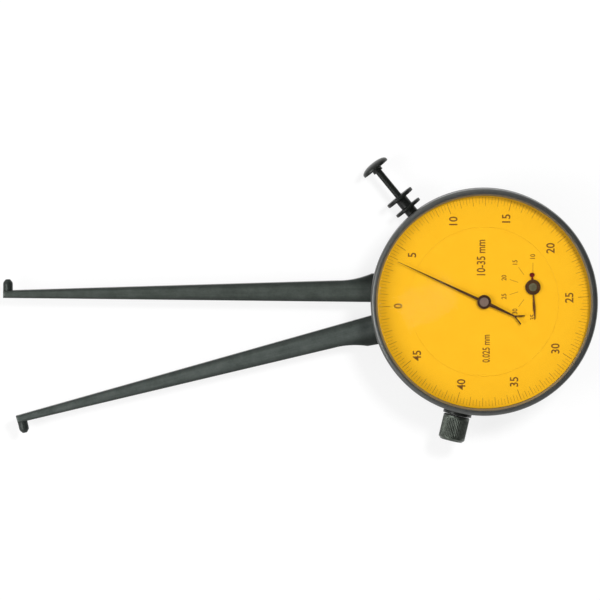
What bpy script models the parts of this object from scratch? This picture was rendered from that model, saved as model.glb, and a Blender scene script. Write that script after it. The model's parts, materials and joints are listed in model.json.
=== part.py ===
# Inside dial caliper: two long legs that reach into a bore, one fixed and one turning,
# with a gear train to a main hand and a turn counter, a push button that closes the legs,
# and a knob that turns the outer scale. Metres, +Z towards the reader, flat back at Z = 0,
# dial axis on the Z axis, legs towards -X.
import math

import bmesh
import bpy
from mathutils import Vector

# Clearances
SEAT_GAP = 0.0002          # between pieces that are fastened or lie on each other
FIT_GAP = 0.0001           # radial, round a pin, screw or arbor in its hole
RUN_GAP = 0.0003           # beside a piece that moves
CUT_OVERRUN = 0.0010       # how far a cutter passes the face that it opens
MERGE_DISTANCE = 0.000001  # points of one outline or profile that are the same point

# Case and window
CASE_RADIUS = 0.0257
CASE_WALL = 0.0021
BEZEL_OVERHANG = 0.0003    # bezel past the side of the case
BEZEL_LIP = 0.0012         # bezel inwards, over the edge of the window
SPIGOT_WALL = 0.00055      # thin upper rim of the case, inside the bezel
BEZEL_SKIRT = 0.0006
BEZEL_FLANGE = 0.0011
BEZEL_CHAMFER = 0.0005
BACK_THICKNESS = 0.0014
BACK_CHAMFER = 0.0004
CRYSTAL_THICKNESS = 0.0008
CRYSTAL_RISE = 0.0010      # middle of the crystal above its rim
GASKET_THICKNESS = 0.0003
GASKET_WIDTH = 0.0006

# Layers of the movement, from the back towards the dial
BRIDGE_THICKNESS = 0.0010
UNDER_LEG_SPACE = 0.0008
LEG_THICKNESS = 0.0034
SECTOR_THICKNESS = 0.0008
OVER_SECTOR_SPACE = 0.0008
BASE_THICKNESS = 0.0012
COUNTER_WHEEL_THICKNESS = 0.0006
CROWN_WEB = 0.0003
DIAL_THICKNESS = 0.0004
HAND_SPACE = 0.00125       # from the dial to the crystal

# Legs
PIVOT_INSET = 0.0048       # along X, from the inside of the case to the pivot
CLOSED_LEG_GAP = 0.0013    # between the legs at the case, when they are closed
LEG_TRAVEL_DEG = 16.2      # from the open stop to the smallest size
LEG_OPEN_DEG = 15.8        # slope of the turning leg's upper edge when open
LEG_EDGE_ROUND = 0.0003
LEG_TIP_WIDTH = 0.00165
LEG_NECK_WIDTH = 0.0048
LEG_ROOT_WIDTH = 0.0065
LEG_FLARE_LENGTH = 0.0078
FIXED_LEG_LENGTH = 0.0845  # case to the end of the fixed leg
FIXED_LEG_ROOT_Y = -0.0004 # its lower edge at the case
FIXED_LEG_TIP_Y = 0.00055  # its lower edge at its end
FIXED_ROOT_LENGTH = 0.0082
LEG_END_OFFSET = 0.0007    # the turning leg ends this much short of the fixed one
MOVING_LEG_OFFSET = 0.0046 # pivot to the line of its upper edge
CONTACT_RADIUS = 0.00112
CONTACT_LENGTH = 0.0025
PIVOT_PIN_RADIUS = 0.00125
LEG_HUB_RADIUS = 0.0028

# Gear train. The sector is part of an internal gear.
TRAIN_RIM_SPACE = 0.003619 # inside of the case to the intermediate wheel
COUNTER_RIM_SPACE = 0.001115
SECTOR_FULL_TEETH = 150
SECTOR_PINION_TEETH = 12
WHEEL_TEETH = 72
CENTER_PINION_TEETH = 8
COUNTER_WHEEL_TEETH = 80
COUNTER_PINION_TEETH = 8
COUNTER_DIRECTION_DEG = 16.85
IDLER_ARBOR_RADIUS = 0.0005
CENTER_ARBOR_RADIUS = 0.00035
COUNTER_ARBOR_RADIUS = 0.0004

# Tooth shapes. Wheels have broad V spaces, pinions have slim leaves.
WHEEL_TOOTH_SHARES = {"addendum_share": 0.85, "dedendum_share": 1.35, "tip_share": 0.16}
PINION_TOOTH_SHARES = {"addendum_share": 0.75, "dedendum_share": 1.15, "tip_share": 0.14,
                       "root_share": 0.50}
CROWN_TOOTH_SHARES = {"addendum_share": 0.75, "dedendum_share": 1.35, "tip_share": 0.12}
KNOB_TOOTH_SHARES = {"addendum_share": 0.75, "dedendum_share": 0.95, "tip_share": 0.10,
                     "root_share": 0.40}

# Push button
BUTTON_DIRECTION_DEG = 129.3
BUTTON_CAP_RADIUS = 0.00335
BUTTON_CAP_THICKNESS = 0.0016
BUTTON_SPARE = 0.0020      # left between cap and guide when the button is pressed home
CAP_BOSS_LENGTH = 0.0008
ROD_RADIUS = 0.00078
GUIDE_NECK_RADIUS = 0.0014
GUIDE_FLANGE_SPACE = 0.00215
GUIDE_TOP_RADIUS = 0.00347
GUIDE_TOP_THICKNESS = 0.0009
GUIDE_NUT_STANDOFF = 0.00105
GUIDE_NUT_RADIUS = 0.00335
GUIDE_NUT_THICKNESS = 0.00075
NOSE_RADIUS = 0.0013

# Zero-setting knob and the crown gear that it turns
KNOB_DIRECTION_DEG = 256.7
KNOB_RADIUS = 0.00303
KNOB_LENGTH = 0.0059
KNOB_CHAMFER = 0.0007
KNOB_SHAFT_RADIUS = 0.0008
KNOB_FLANGE_RADIUS = 0.0033
KNOB_FLANGE_THICKNESS = 0.0007
CROWN_INSET = 0.0020       # inside of the case to the crown gear's pitch circle
CROWN_TEETH = 60
KNOB_PINION_TEETH = 6
CROWN_FACE = 0.0013

# Dial and hands
SCALE_WIDTH = 0.00725
RING_SPACE = 0.0002        # round the scale ring, inside and outside
MAIN_HAND_REST_DEG = 155.0
HAND_TIP_SPACE = 0.00265   # tip of the main hand to the edge of the scale
MAIN_TAIL_LENGTH = 0.0098
MAIN_HUB_RADIUS = 0.0016
COUNTER_HAND_REST_DEG = 274.0
COUNTER_HAND_LENGTH = 0.0073
COUNTER_TAIL_LENGTH = 0.0028
COUNTER_HUB_RADIUS = 0.00176
POINTER_THICKNESS = 0.00018

# How finely round pieces are cut
LARGE_STEPS = 48
KNOB_STEPS = 24
CURVE_STEPS = 20
NOSE_STEPS = 16
PIN_STEPS = 10
HOLE_STEPS = 10
ARC_STEPS = 6

# Radii and reaches, worked out from the sizes above
CASE_INNER = CASE_RADIUS - CASE_WALL
BEZEL_RADIUS = CASE_RADIUS + BEZEL_OVERHANG
WINDOW_RADIUS = BEZEL_RADIUS - BEZEL_LIP
SPIGOT_OUTER = BEZEL_RADIUS - BEZEL_SKIRT - 2 * FIT_GAP
SPIGOT_INNER = SPIGOT_OUTER - SPIGOT_WALL
SCALE_RADIUS = SPIGOT_INNER - RING_SPACE
INNER_DIAL_RADIUS = SCALE_RADIUS - SCALE_WIDTH - RING_SPACE
MAIN_HAND_LENGTH = SCALE_RADIUS - HAND_TIP_SPACE
LEG_PIVOT_X = PIVOT_INSET - CASE_INNER
LEG_PIVOT_Y = FIXED_LEG_ROOT_Y - CLOSED_LEG_GAP - MOVING_LEG_OFFSET
FIXED_LEG_REACH = CASE_RADIUS + FIXED_LEG_LENGTH
MOVING_LEG_REACH = FIXED_LEG_REACH + LEG_PIVOT_X - LEG_END_OFFSET
TRAIN_MODULE = (CASE_INNER - TRAIN_RIM_SPACE) / (
    WHEEL_TEETH + CENTER_PINION_TEETH / 2 + WHEEL_TOOTH_SHARES["addendum_share"])
COUNTER_MODULE = (CASE_INNER - COUNTER_RIM_SPACE) / (
    COUNTER_WHEEL_TEETH + COUNTER_PINION_TEETH / 2 + WHEEL_TOOTH_SHARES["addendum_share"])
COUNTER_DISTANCE = COUNTER_MODULE * (COUNTER_WHEEL_TEETH + COUNTER_PINION_TEETH) / 2
CROWN_RADIUS = CASE_INNER - CROWN_INSET
CROWN_MODULE = 2 * CROWN_RADIUS / CROWN_TEETH
GUIDE_NUT_REACH = BEZEL_RADIUS + GUIDE_NUT_STANDOFF + GUIDE_NUT_THICKNESS
GUIDE_TOP_REACH = GUIDE_NUT_REACH + GUIDE_FLANGE_SPACE + GUIDE_TOP_THICKNESS
KNOB_LOW = BEZEL_RADIUS + FIT_GAP + KNOB_FLANGE_THICKNESS + SEAT_GAP
KNOB_REACH = KNOB_LOW + KNOB_LENGTH

# Levels, worked out from the layers above
CASE_LOW = BACK_THICKNESS + SEAT_GAP
BRIDGE_LOW = CASE_LOW + SEAT_GAP
BRIDGE_TOP = BRIDGE_LOW + BRIDGE_THICKNESS
LEG_LOW = BRIDGE_TOP + UNDER_LEG_SPACE
LEG_MID = LEG_LOW + LEG_THICKNESS / 2
LEG_TOP = LEG_LOW + LEG_THICKNESS
SECTOR_LOW = LEG_TOP + SEAT_GAP
SECTOR_TOP = SECTOR_LOW + SECTOR_THICKNESS
BASE_LOW = SECTOR_TOP + OVER_SECTOR_SPACE
BASE_TOP = BASE_LOW + BASE_THICKNESS
COUNTER_LOW = BASE_TOP + RUN_GAP
COUNTER_TOP = COUNTER_LOW + COUNTER_WHEEL_THICKNESS
CROWN_TIP = COUNTER_TOP + RUN_GAP
CROWN_PITCH = CROWN_TIP + CROWN_MODULE * CROWN_TOOTH_SHARES["addendum_share"]
CROWN_ROOT = CROWN_PITCH + CROWN_MODULE * CROWN_TOOTH_SHARES["dedendum_share"]
CROWN_TOP = CROWN_ROOT + CROWN_WEB
DIAL_LOW = CROWN_TOP + SEAT_GAP
DIAL_TOP = DIAL_LOW + DIAL_THICKNESS
SHOULDER = DIAL_LOW - SEAT_GAP
CRYSTAL_LOW = DIAL_TOP + HAND_SPACE
CRYSTAL_TOP = CRYSTAL_LOW + CRYSTAL_THICKNESS
SPIGOT_TOP = CRYSTAL_LOW - SEAT_GAP
GASKET_LOW = CRYSTAL_TOP + FIT_GAP
FLANGE_LOW = GASKET_LOW + GASKET_THICKNESS + FIT_GAP
BEZEL_TOP = FLANGE_LOW + BEZEL_FLANGE

# Places, worked out from the sizes above
PIVOT = Vector((LEG_PIVOT_X, LEG_PIVOT_Y, 0))
SECTOR_DISTANCE = TRAIN_MODULE * (SECTOR_FULL_TEETH - SECTOR_PINION_TEETH) / 2
WHEEL_DISTANCE = TRAIN_MODULE * (WHEEL_TEETH + CENTER_PINION_TEETH) / 2
KNOB_AXIS_Z = CROWN_PITCH - CROWN_MODULE * KNOB_PINION_TEETH / 2


def polar(radius, degrees):
    """Point at a distance and direction from the origin of a piece."""
    angle = math.radians(degrees)
    return Vector((radius * math.cos(angle), radius * math.sin(angle), 0))


def direction(vector):
    return math.degrees(math.atan2(vector.y, vector.x))


def meeting_point(first, first_radius, second_radius):
    """Where a circle round the given point crosses one round the origin, on the low side."""
    span = first.length
    along = (span ** 2 + second_radius ** 2 - first_radius ** 2) / (2 * span)
    across = math.sqrt(second_radius ** 2 - along ** 2)
    unit = first / span
    side = Vector((-unit.y, unit.x, 0))
    return unit * along + side * across


IDLER = meeting_point(PIVOT, SECTOR_DISTANCE, WHEEL_DISTANCE)
COUNTER = polar(COUNTER_DISTANCE, COUNTER_DIRECTION_DEG)
BUTTON_OUTWARD = polar(1, BUTTON_DIRECTION_DEG)
NOSE_MID = BUTTON_OUTWARD * PIVOT.dot(BUTTON_OUTWARD)
ARM_LENGTH = (NOSE_MID - PIVOT).length
ARM_REST_DEG = direction(NOSE_MID - PIVOT) + LEG_TRAVEL_DEG / 2
ROD_INNER_END = (NOSE_MID.length
                 + ARM_LENGTH * math.sin(math.radians(LEG_TRAVEL_DEG / 2))
                 + NOSE_RADIUS + SEAT_GAP)
BUTTON_STROKE = ARM_LENGTH * math.radians(LEG_TRAVEL_DEG)
BUTTON_REACH = (GUIDE_TOP_REACH + BUTTON_STROKE + BUTTON_SPARE + CAP_BOSS_LENGTH
                + BUTTON_CAP_THICKNESS)


# Collections and materials

def make_collection(name):
    collection = bpy.data.collections.new(name)
    bpy.context.scene.collection.children.link(collection)
    return collection


def clear_scene():
    for item in list(bpy.data.objects):
        bpy.data.objects.remove(item, do_unlink=True)


clear_scene()
PARTS = make_collection("inside_dial_caliper")
CUTTERS = make_collection("cutters")


def make_material(name, color, roughness, metallic, alpha=1.0):
    material = bpy.data.materials.new(name)
    material.use_nodes = True
    shader = material.node_tree.nodes["Principled BSDF"]
    shader.inputs["Base Color"].default_value = (*color, 1.0)
    shader.inputs["Roughness"].default_value = roughness
    shader.inputs["Metallic"].default_value = metallic
    shader.inputs["Alpha"].default_value = alpha
    return material


FINISHES = {
    "black_steel": ((0.055, 0.065, 0.060), 0.45, 0.8),
    "black_paint": ((0.030, 0.033, 0.032), 0.40, 0.0),
    "bright_steel": ((0.55, 0.55, 0.56), 0.30, 1.0),
    "brass": ((0.70, 0.52, 0.22), 0.35, 1.0),
    "yellow_dial": ((0.97, 0.52, 0.02), 0.45, 0.0),
    "hand_black": ((0.030, 0.018, 0.012), 0.40, 0.2),
    "clear": ((0.95, 0.96, 0.96), 0.05, 0.0, 0.25),
    "cream_nylon": ((0.72, 0.62, 0.46), 0.60, 0.0),
}


def finish(item, kind):
    """Gives a piece a material of its own, in one of the finishes."""
    item.data.materials.clear()
    item.data.materials.append(make_material(item.name, *FINISHES[kind]))


# Makers of shapes

def add_object(name, data, kind, parent=None, location=(0, 0, 0)):
    item = bpy.data.objects.new(name, data)
    PARTS.objects.link(item)
    item.parent = parent
    item.location = location
    finish(item, kind)
    return item


def joint_empty(name, location, outward=None):
    """Empty on a joint's axis. Its Z runs along the axis where outward is given."""
    empty = bpy.data.objects.new(name, None)
    empty.empty_display_size = CASE_WALL
    empty.location = location
    if outward is not None:
        empty.rotation_mode = "QUATERNION"
        empty.rotation_quaternion = outward.to_track_quat("Z", "Y")
    PARTS.objects.link(empty)
    return empty


def arc(center, radius, start_deg, end_deg, steps):
    return [Vector(center) + polar(radius, start_deg + (end_deg - start_deg) * i / steps)
            for i in range(steps + 1)]


def circle(center, radius, steps=HOLE_STEPS, phase=0.0):
    return [Vector(center) + polar(radius, phase + 360 * i / steps) for i in range(steps)]


def plate(name, outline, low, thickness, kind, holes=(), parent=None, turn_deg=0.0):
    """Flat piece: a closed 2D curve and its holes, extruded, then welded into a mesh."""
    curve = bpy.data.curves.new(name, "CURVE")
    curve.dimensions = "2D"
    curve.fill_mode = "BOTH"
    curve.extrude = thickness / 2
    for loop in (outline, *holes):
        spline = curve.splines.new("POLY")
        spline.points.add(len(loop) - 1)
        for point, place in zip(spline.points, loop):
            point.co = (place.x, place.y, 0, 1)
        spline.use_cyclic_u = True
    return curve_to_mesh(name, curve, kind, parent, (0, 0, low + thickness / 2), turn_deg)


def face_outwards(sculpt):
    bmesh.ops.recalc_face_normals(sculpt, faces=sculpt.faces)
    if sculpt.calc_volume(signed=True) < 0:
        bmesh.ops.reverse_faces(sculpt, faces=sculpt.faces)


def curve_to_mesh(name, curve, kind, parent, location=(0, 0, 0), turn_deg=0.0):
    """Replaces a curve by its mesh, with its loose caps welded."""
    guide = bpy.data.objects.new(name + "_curve", curve)
    PARTS.objects.link(guide)
    guide.location = location
    guide.rotation_euler.z = math.radians(turn_deg)
    depsgraph = bpy.context.evaluated_depsgraph_get()
    depsgraph.update()
    mesh = bpy.data.meshes.new_from_object(guide.evaluated_get(depsgraph))
    mesh.name = name
    sculpt = bmesh.new()
    sculpt.from_mesh(mesh)
    bmesh.ops.remove_doubles(sculpt, verts=sculpt.verts, dist=MERGE_DISTANCE)
    face_outwards(sculpt)
    sculpt.to_mesh(mesh)
    sculpt.free()
    item = add_object(name, mesh, kind, parent)
    item.matrix_basis = guide.matrix_world.copy()
    bpy.data.objects.remove(guide, do_unlink=True)
    return item


def turned(name, profile, kind, parent=None, location=(0, 0, 0), ring=False, steps=PIN_STEPS):
    """Round piece from a profile of (radius, height), down its outer side. A ring is closed."""
    mesh = bpy.data.meshes.new(name)
    corners = [(radius, 0, height) for radius, height in profile]
    edges = [(i, i + 1) for i in range(len(corners) - 1)]
    if ring:
        edges.append((len(corners) - 1, 0))
    mesh.from_pydata(corners, edges, [])
    item = add_object(name, mesh, kind, parent, location)
    screw = item.modifiers.new("turn", "SCREW")
    screw.steps = steps
    screw.render_steps = steps
    screw.use_merge_vertices = True
    screw.merge_threshold = MERGE_DISTANCE
    screw.use_smooth_shade = steps > PIN_STEPS
    return item


def wire(name, points, radius, kind, parent=None):
    """Round wire along computed points, with closed ends."""
    curve = bpy.data.curves.new(name, "CURVE")
    curve.dimensions = "3D"
    curve.bevel_depth = radius
    curve.bevel_resolution = 1
    curve.use_fill_caps = True
    spline = curve.splines.new("POLY")
    spline.points.add(len(points) - 1)
    for point, place in zip(spline.points, points):
        point.co = (*place, 1)
    return curve_to_mesh(name, curve, kind, parent)


def make_cutter(name, mesh, location=(0, 0, 0), outward=None):
    cutter = bpy.data.objects.new(name, mesh)
    CUTTERS.objects.link(cutter)
    cutter.location = location
    if outward is not None:
        cutter.rotation_mode = "QUATERNION"
        cutter.rotation_quaternion = outward.to_track_quat("Z", "Y")
    cutter.hide_render = True
    cutter.display_type = "WIRE"
    return cutter


def box_mesh(name, low, high):
    mesh = bpy.data.meshes.new(name)
    sculpt = bmesh.new()
    bmesh.ops.create_cube(sculpt, size=1.0)
    for vertex in sculpt.verts:
        vertex.co = Vector([a + (b - a) * (c + 0.5) for a, b, c in zip(low, high, vertex.co)])
    sculpt.to_mesh(mesh)
    sculpt.free()
    return mesh


def rod_mesh(name, radius, low, high, steps=NOSE_STEPS):
    mesh = bpy.data.meshes.new(name)
    sculpt = bmesh.new()
    bmesh.ops.create_cone(sculpt, cap_ends=True, segments=steps, radius1=radius, radius2=radius,
                          depth=high - low)
    bmesh.ops.translate(sculpt, verts=sculpt.verts, vec=(0, 0, (low + high) / 2))
    sculpt.to_mesh(mesh)
    sculpt.free()
    return mesh


def combine(item, other, operation):
    change = item.modifiers.new(operation.lower(), "BOOLEAN")
    change.operation = operation
    change.solver = "EXACT"
    change.object = other


def round_edges(item, width, segments=1):
    bevel = item.modifiers.new("edges", "BEVEL")
    bevel.width = width
    bevel.segments = segments
    bevel.limit_method = "ANGLE"


def gear_outline(teeth, module, phase_deg, addendum_share, dedendum_share, tip_share,
                 root_share=1.0):
    """Outline of an external gear. The tip and root widths are shares of one tooth's pitch,
    and a root share of 1 makes the space between two teeth a plain V."""
    pitch = 360 / teeth
    tip_radius = module * (teeth / 2 + addendum_share)
    root_radius = module * (teeth / 2 - dedendum_share)
    points = []
    for i in range(teeth):
        middle = phase_deg + i * pitch
        if root_share < 1:
            points.append(polar(root_radius, middle - pitch * root_share / 2))
        points.append(polar(tip_radius, middle - pitch * tip_share / 2))
        points.append(polar(tip_radius, middle + pitch * tip_share / 2))
        points.append(polar(root_radius, middle + pitch * root_share / 2))
    return points


def meshing_phase(line_deg, teeth):
    """Phase that puts a space of a gear on the line from its partner."""
    return line_deg + 180 + 180 / teeth


# Case, window and back

BOSS_RADIUS = 0.0019
BOSS_INSET = 0.0014        # inside of the case to the middle of a boss
BOSS_BELOW_SLOT = 0.0007   # lower end of the leg slot to the middle of the boss beside it
COVER_SCREW_RADIUS = 0.0006
COVER_HEAD_RADIUS = 0.0013
COVER_HEAD_THICKNESS = 0.0008
COVER_SCREW_LENGTH = 0.0050
SCREW_SLOT_WIDTH = 0.00035
SCREW_SLOT_DEPTH = 0.0003
PLATE_HEAD_THICKNESS = 0.0005
PLATE_HEAD_RADIUS = 0.0011
PLATE_SCREW_LENGTH = 0.0044
SLOT_SPACE_ABOVE = 0.0004  # leg slot past the fixed leg
SLOT_SPACE_BELOW = 0.00067 # leg slot past the turning leg, open
SLOT_OVERCUT = 0.00013     # leg slot past the inside of the case, at its lower end
SLOT_CLEARANCE = 0.0003

OPEN_SLOPE = math.radians(LEG_OPEN_DEG)
SLOT_BELOW = (-LEG_PIVOT_Y + (LEG_ROOT_WIDTH - MOVING_LEG_OFFSET) / math.cos(OPEN_SLOPE)
              + (CASE_RADIUS + LEG_PIVOT_X) * math.tan(OPEN_SLOPE) + SLOT_SPACE_BELOW)
SLOT_ABOVE = FIXED_LEG_ROOT_Y + LEG_ROOT_WIDTH + SLOT_SPACE_ABOVE
SLOT_INNER = math.sqrt(CASE_INNER ** 2 - SLOT_BELOW ** 2) - SLOT_OVERCUT
BOSS_CIRCLE = CASE_INNER - BOSS_INSET
BOSS_BESIDE_SLOT_DEG = 180 + math.degrees(math.asin((SLOT_BELOW + BOSS_BELOW_SLOT)
                                                    / BOSS_CIRCLE))
BOSS_DIRECTIONS_DEG = [BOSS_BESIDE_SLOT_DEG + turn for turn in (-120, 0, 120)]


def make_case():
    profile = [(SPIGOT_OUTER, SPIGOT_TOP), (SPIGOT_OUTER, SHOULDER), (CASE_RADIUS, SHOULDER),
               (CASE_RADIUS, CASE_LOW), (CASE_INNER, CASE_LOW), (CASE_INNER, SHOULDER),
               (SPIGOT_INNER, SHOULDER), (SPIGOT_INNER, SPIGOT_TOP)]
    case = turned("case_body", profile, "black_steel", ring=True, steps=LARGE_STEPS)
    for number, degrees in enumerate(BOSS_DIRECTIONS_DEG, 1):
        spot = polar(BOSS_CIRCLE, degrees)
        boss = make_cutter(f"boss_{number}", rod_mesh(f"boss_{number}", BOSS_RADIUS, CASE_LOW,
                                                      BASE_LOW - SEAT_GAP), spot)
        combine(case, boss, "UNION")
    for number, degrees in enumerate(BOSS_DIRECTIONS_DEG, 1):
        hole = make_cutter(f"boss_hole_{number}",
                           rod_mesh(f"boss_hole_{number}", COVER_SCREW_RADIUS + FIT_GAP,
                                    CASE_LOW - CUT_OVERRUN, BASE_LOW + CUT_OVERRUN, HOLE_STEPS),
                           polar(BOSS_CIRCLE, degrees))
        combine(case, hole, "DIFFERENCE")
    slot = make_cutter("leg_slot", box_mesh(
        "leg_slot",
        (-CASE_RADIUS - CUT_OVERRUN, -SLOT_BELOW, LEG_LOW - SLOT_CLEARANCE),
        (-SLOT_INNER, SLOT_ABOVE, LEG_TOP + SLOT_CLEARANCE)))
    combine(case, slot, "DIFFERENCE")
    guide_hole = make_cutter(
        "guide_hole", rod_mesh("guide_hole", GUIDE_NECK_RADIUS + FIT_GAP,
                               CASE_INNER - CUT_OVERRUN, CASE_RADIUS + CUT_OVERRUN),
        (0, 0, LEG_MID), BUTTON_OUTWARD)
    combine(case, guide_hole, "DIFFERENCE")
    bush_hole = make_cutter(
        "bush_hole", rod_mesh("bush_hole", KNOB_BUSH_RADIUS + FIT_GAP,
                              CASE_INNER - CUT_OVERRUN, CASE_RADIUS + CUT_OVERRUN),
        (0, 0, KNOB_AXIS_Z), polar(1, KNOB_DIRECTION_DEG))
    combine(case, bush_hole, "DIFFERENCE")


def make_back():
    rim = CASE_RADIUS - FIT_GAP
    cover = turned("back_cover", [(0, BACK_THICKNESS), (rim, BACK_THICKNESS),
                                  (rim, BACK_CHAMFER), (rim - BACK_CHAMFER, 0), (0, 0)],
                   "black_steel", steps=LARGE_STEPS)
    head_low = BACK_THICKNESS - COVER_HEAD_THICKNESS - SEAT_GAP - FIT_GAP
    seat = head_low + COVER_HEAD_THICKNESS + FIT_GAP
    for number, degrees in enumerate(BOSS_DIRECTIONS_DEG, 1):
        spot = polar(BOSS_CIRCLE, degrees)
        name = f"cover_hole_{number}"
        mesh = rod_mesh(name, COVER_SCREW_RADIUS + FIT_GAP, 0, BACK_THICKNESS + CUT_OVERRUN,
                        HOLE_STEPS)
        combine(cover, make_cutter(name, mesh, spot), "DIFFERENCE")
        name = f"cover_sink_{number}"
        mesh = rod_mesh(name, COVER_HEAD_RADIUS + FIT_GAP, -CUT_OVERRUN, seat)
        combine(cover, make_cutter(name, mesh, spot), "DIFFERENCE")
        screw = turned(f"cover_screw_{number}", [
            (0, COVER_SCREW_LENGTH), (COVER_SCREW_RADIUS, COVER_SCREW_LENGTH),
            (COVER_SCREW_RADIUS, seat - FIT_GAP), (COVER_HEAD_RADIUS, seat - FIT_GAP),
            (COVER_HEAD_RADIUS, head_low), (0, head_low)], "bright_steel", location=spot)
        name = f"screw_slot_{number}"
        half = SCREW_SLOT_WIDTH / 2
        reach = COVER_HEAD_RADIUS + CUT_OVERRUN
        mesh = box_mesh(name, (-reach, -half, head_low - CUT_OVERRUN),
                        (reach, half, head_low + SCREW_SLOT_DEPTH))
        combine(screw, make_cutter(name, mesh, spot), "DIFFERENCE")


def make_window():
    skirt_inner = BEZEL_RADIUS - BEZEL_SKIRT
    turned("bezel", [
        (BEZEL_RADIUS - BEZEL_CHAMFER, BEZEL_TOP), (BEZEL_RADIUS, BEZEL_TOP - BEZEL_CHAMFER),
        (BEZEL_RADIUS, SHOULDER + SEAT_GAP), (skirt_inner, SHOULDER + SEAT_GAP),
        (skirt_inner, FLANGE_LOW), (WINDOW_RADIUS, FLANGE_LOW),
        (WINDOW_RADIUS, BEZEL_TOP - BEZEL_CHAMFER / 2),
        (WINDOW_RADIUS + BEZEL_CHAMFER / 2, BEZEL_TOP)],
        "black_paint", ring=True, steps=LARGE_STEPS)
    edge = CRYSTAL_THICKNESS / 4
    gasket_outer = SPIGOT_OUTER - edge
    gasket_inner = gasket_outer - GASKET_WIDTH
    dome_edge = gasket_inner - SEAT_GAP
    dome = [(dome_edge * i / ARC_STEPS, CRYSTAL_RISE * (1 - (i / ARC_STEPS) ** 2))
            for i in range(ARC_STEPS + 1)]
    turned("crystal", [
        *[(radius, CRYSTAL_TOP + rise) for radius, rise in dome], (gasket_outer, CRYSTAL_TOP),
        (SPIGOT_OUTER, CRYSTAL_TOP - edge), (SPIGOT_OUTER, CRYSTAL_LOW),
        *[(radius, CRYSTAL_LOW + rise) for radius, rise in reversed(dome)]],
        "clear", steps=LARGE_STEPS)
    turned("crystal_gasket", [
        (gasket_outer, GASKET_LOW + GASKET_THICKNESS), (gasket_outer, GASKET_LOW),
        (gasket_inner, GASKET_LOW), (gasket_inner, GASKET_LOW + GASKET_THICKNESS)],
        "cream_nylon", ring=True, steps=LARGE_STEPS)


# Frame of the movement

PILLAR_RADIUS = 0.0012
PILLAR_SPIGOT_RADIUS = 0.0006
PILLAR_INSETS = (0.0049, 0.0119)  # inside of the case to each pillar of the rear bridge
PILLAR_DIRECTIONS_DEG = (304.1, 80.1)
BRIDGE_EAR_RADIUS = 0.0020
BASE_PLATE_GAP = 0.0003    # round the base plate, inside the case
NOTCH_DEPTH = 0.0035       # cut into the base plate's rim for the knob's pinion
DIAL_POST_RADIUS = 0.0009
DIAL_POST_INSET = 0.0020   # edge of the inner dial to the middle of a post
DIAL_POST_DIRECTIONS_DEG = (150, 210, 300)
FIXED_SCREW_RADIUS = 0.0005
FIXED_SCREW_SPACING = 0.0029
FIXED_HEAD_RADIUS = 0.0011
FIXED_HEAD_THICKNESS = 0.0006
STOP_PIN_RADIUS = 0.0008
STOP_PIN_BEFORE_NOSE = 0.00222
SPRING_POST_RADIUS = 0.0004
SPRING_POST_INSET = 0.0050
SPRING_POST_DIRECTION_DEG = 141.8
SPRING_PEG_ALONG_ARM = 0.0090
SPRING_COIL_RADIUS = 0.00054
SPRING_WIRE_RADIUS = 0.00011
SPRING_TURNS = 7
ARM_HALF_WIDTH = 0.0013

FIXED_ROOT_END_X = -CASE_RADIUS + FIXED_ROOT_LENGTH
FIXED_SCREW_PLACES = tuple(
    Vector((FIXED_ROOT_END_X - FIXED_HEAD_RADIUS - SEAT_GAP - FIXED_SCREW_SPACING * i,
            FIXED_LEG_ROOT_Y + LEG_ROOT_WIDTH / 2, 0)) for i in range(2))
PILLAR_PLACES = [polar(CASE_INNER - inset, degrees)
                 for inset, degrees in zip(PILLAR_INSETS, PILLAR_DIRECTIONS_DEG)]
DIAL_POST_CIRCLE = INNER_DIAL_RADIUS - DIAL_POST_INSET
SPRING_POST_PLACE = polar(CASE_INNER - SPRING_POST_INSET, SPRING_POST_DIRECTION_DEG)
STOP_PIN_PLACE = (PIVOT + polar(ARM_LENGTH - STOP_PIN_BEFORE_NOSE, ARM_REST_DEG)
                  + polar(ARM_HALF_WIDTH + SEAT_GAP + STOP_PIN_RADIUS, ARM_REST_DEG + 90))
SPRING_PEG_PLACE = PIVOT + polar(SPRING_PEG_ALONG_ARM, ARM_REST_DEG)


def pin(name, place, kind, levels, parent=None, steps=PIN_STEPS):
    """Stepped pin: levels are (radius, low, high) from the top one down."""
    profile = [(0, levels[0][2])]
    for radius, low, high in levels:
        profile.append((radius, high))
        profile.append((radius, low))
    profile.append((0, levels[-1][1]))
    return turned(name, profile, kind, parent, place, steps=steps)


def rounded_hull(corners, radius, steps):
    """Outline at a distance round a convex set of corners, listed the left-hand way round."""
    points = []
    count = len(corners)
    for i, corner in enumerate(corners):
        before = direction(corner - corners[i - 1]) - 90
        after = direction(corners[(i + 1) % count] - corner) - 90
        turn = (after - before) % 360
        points += arc(corner, radius, before, before + turn, steps)
    return points


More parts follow.
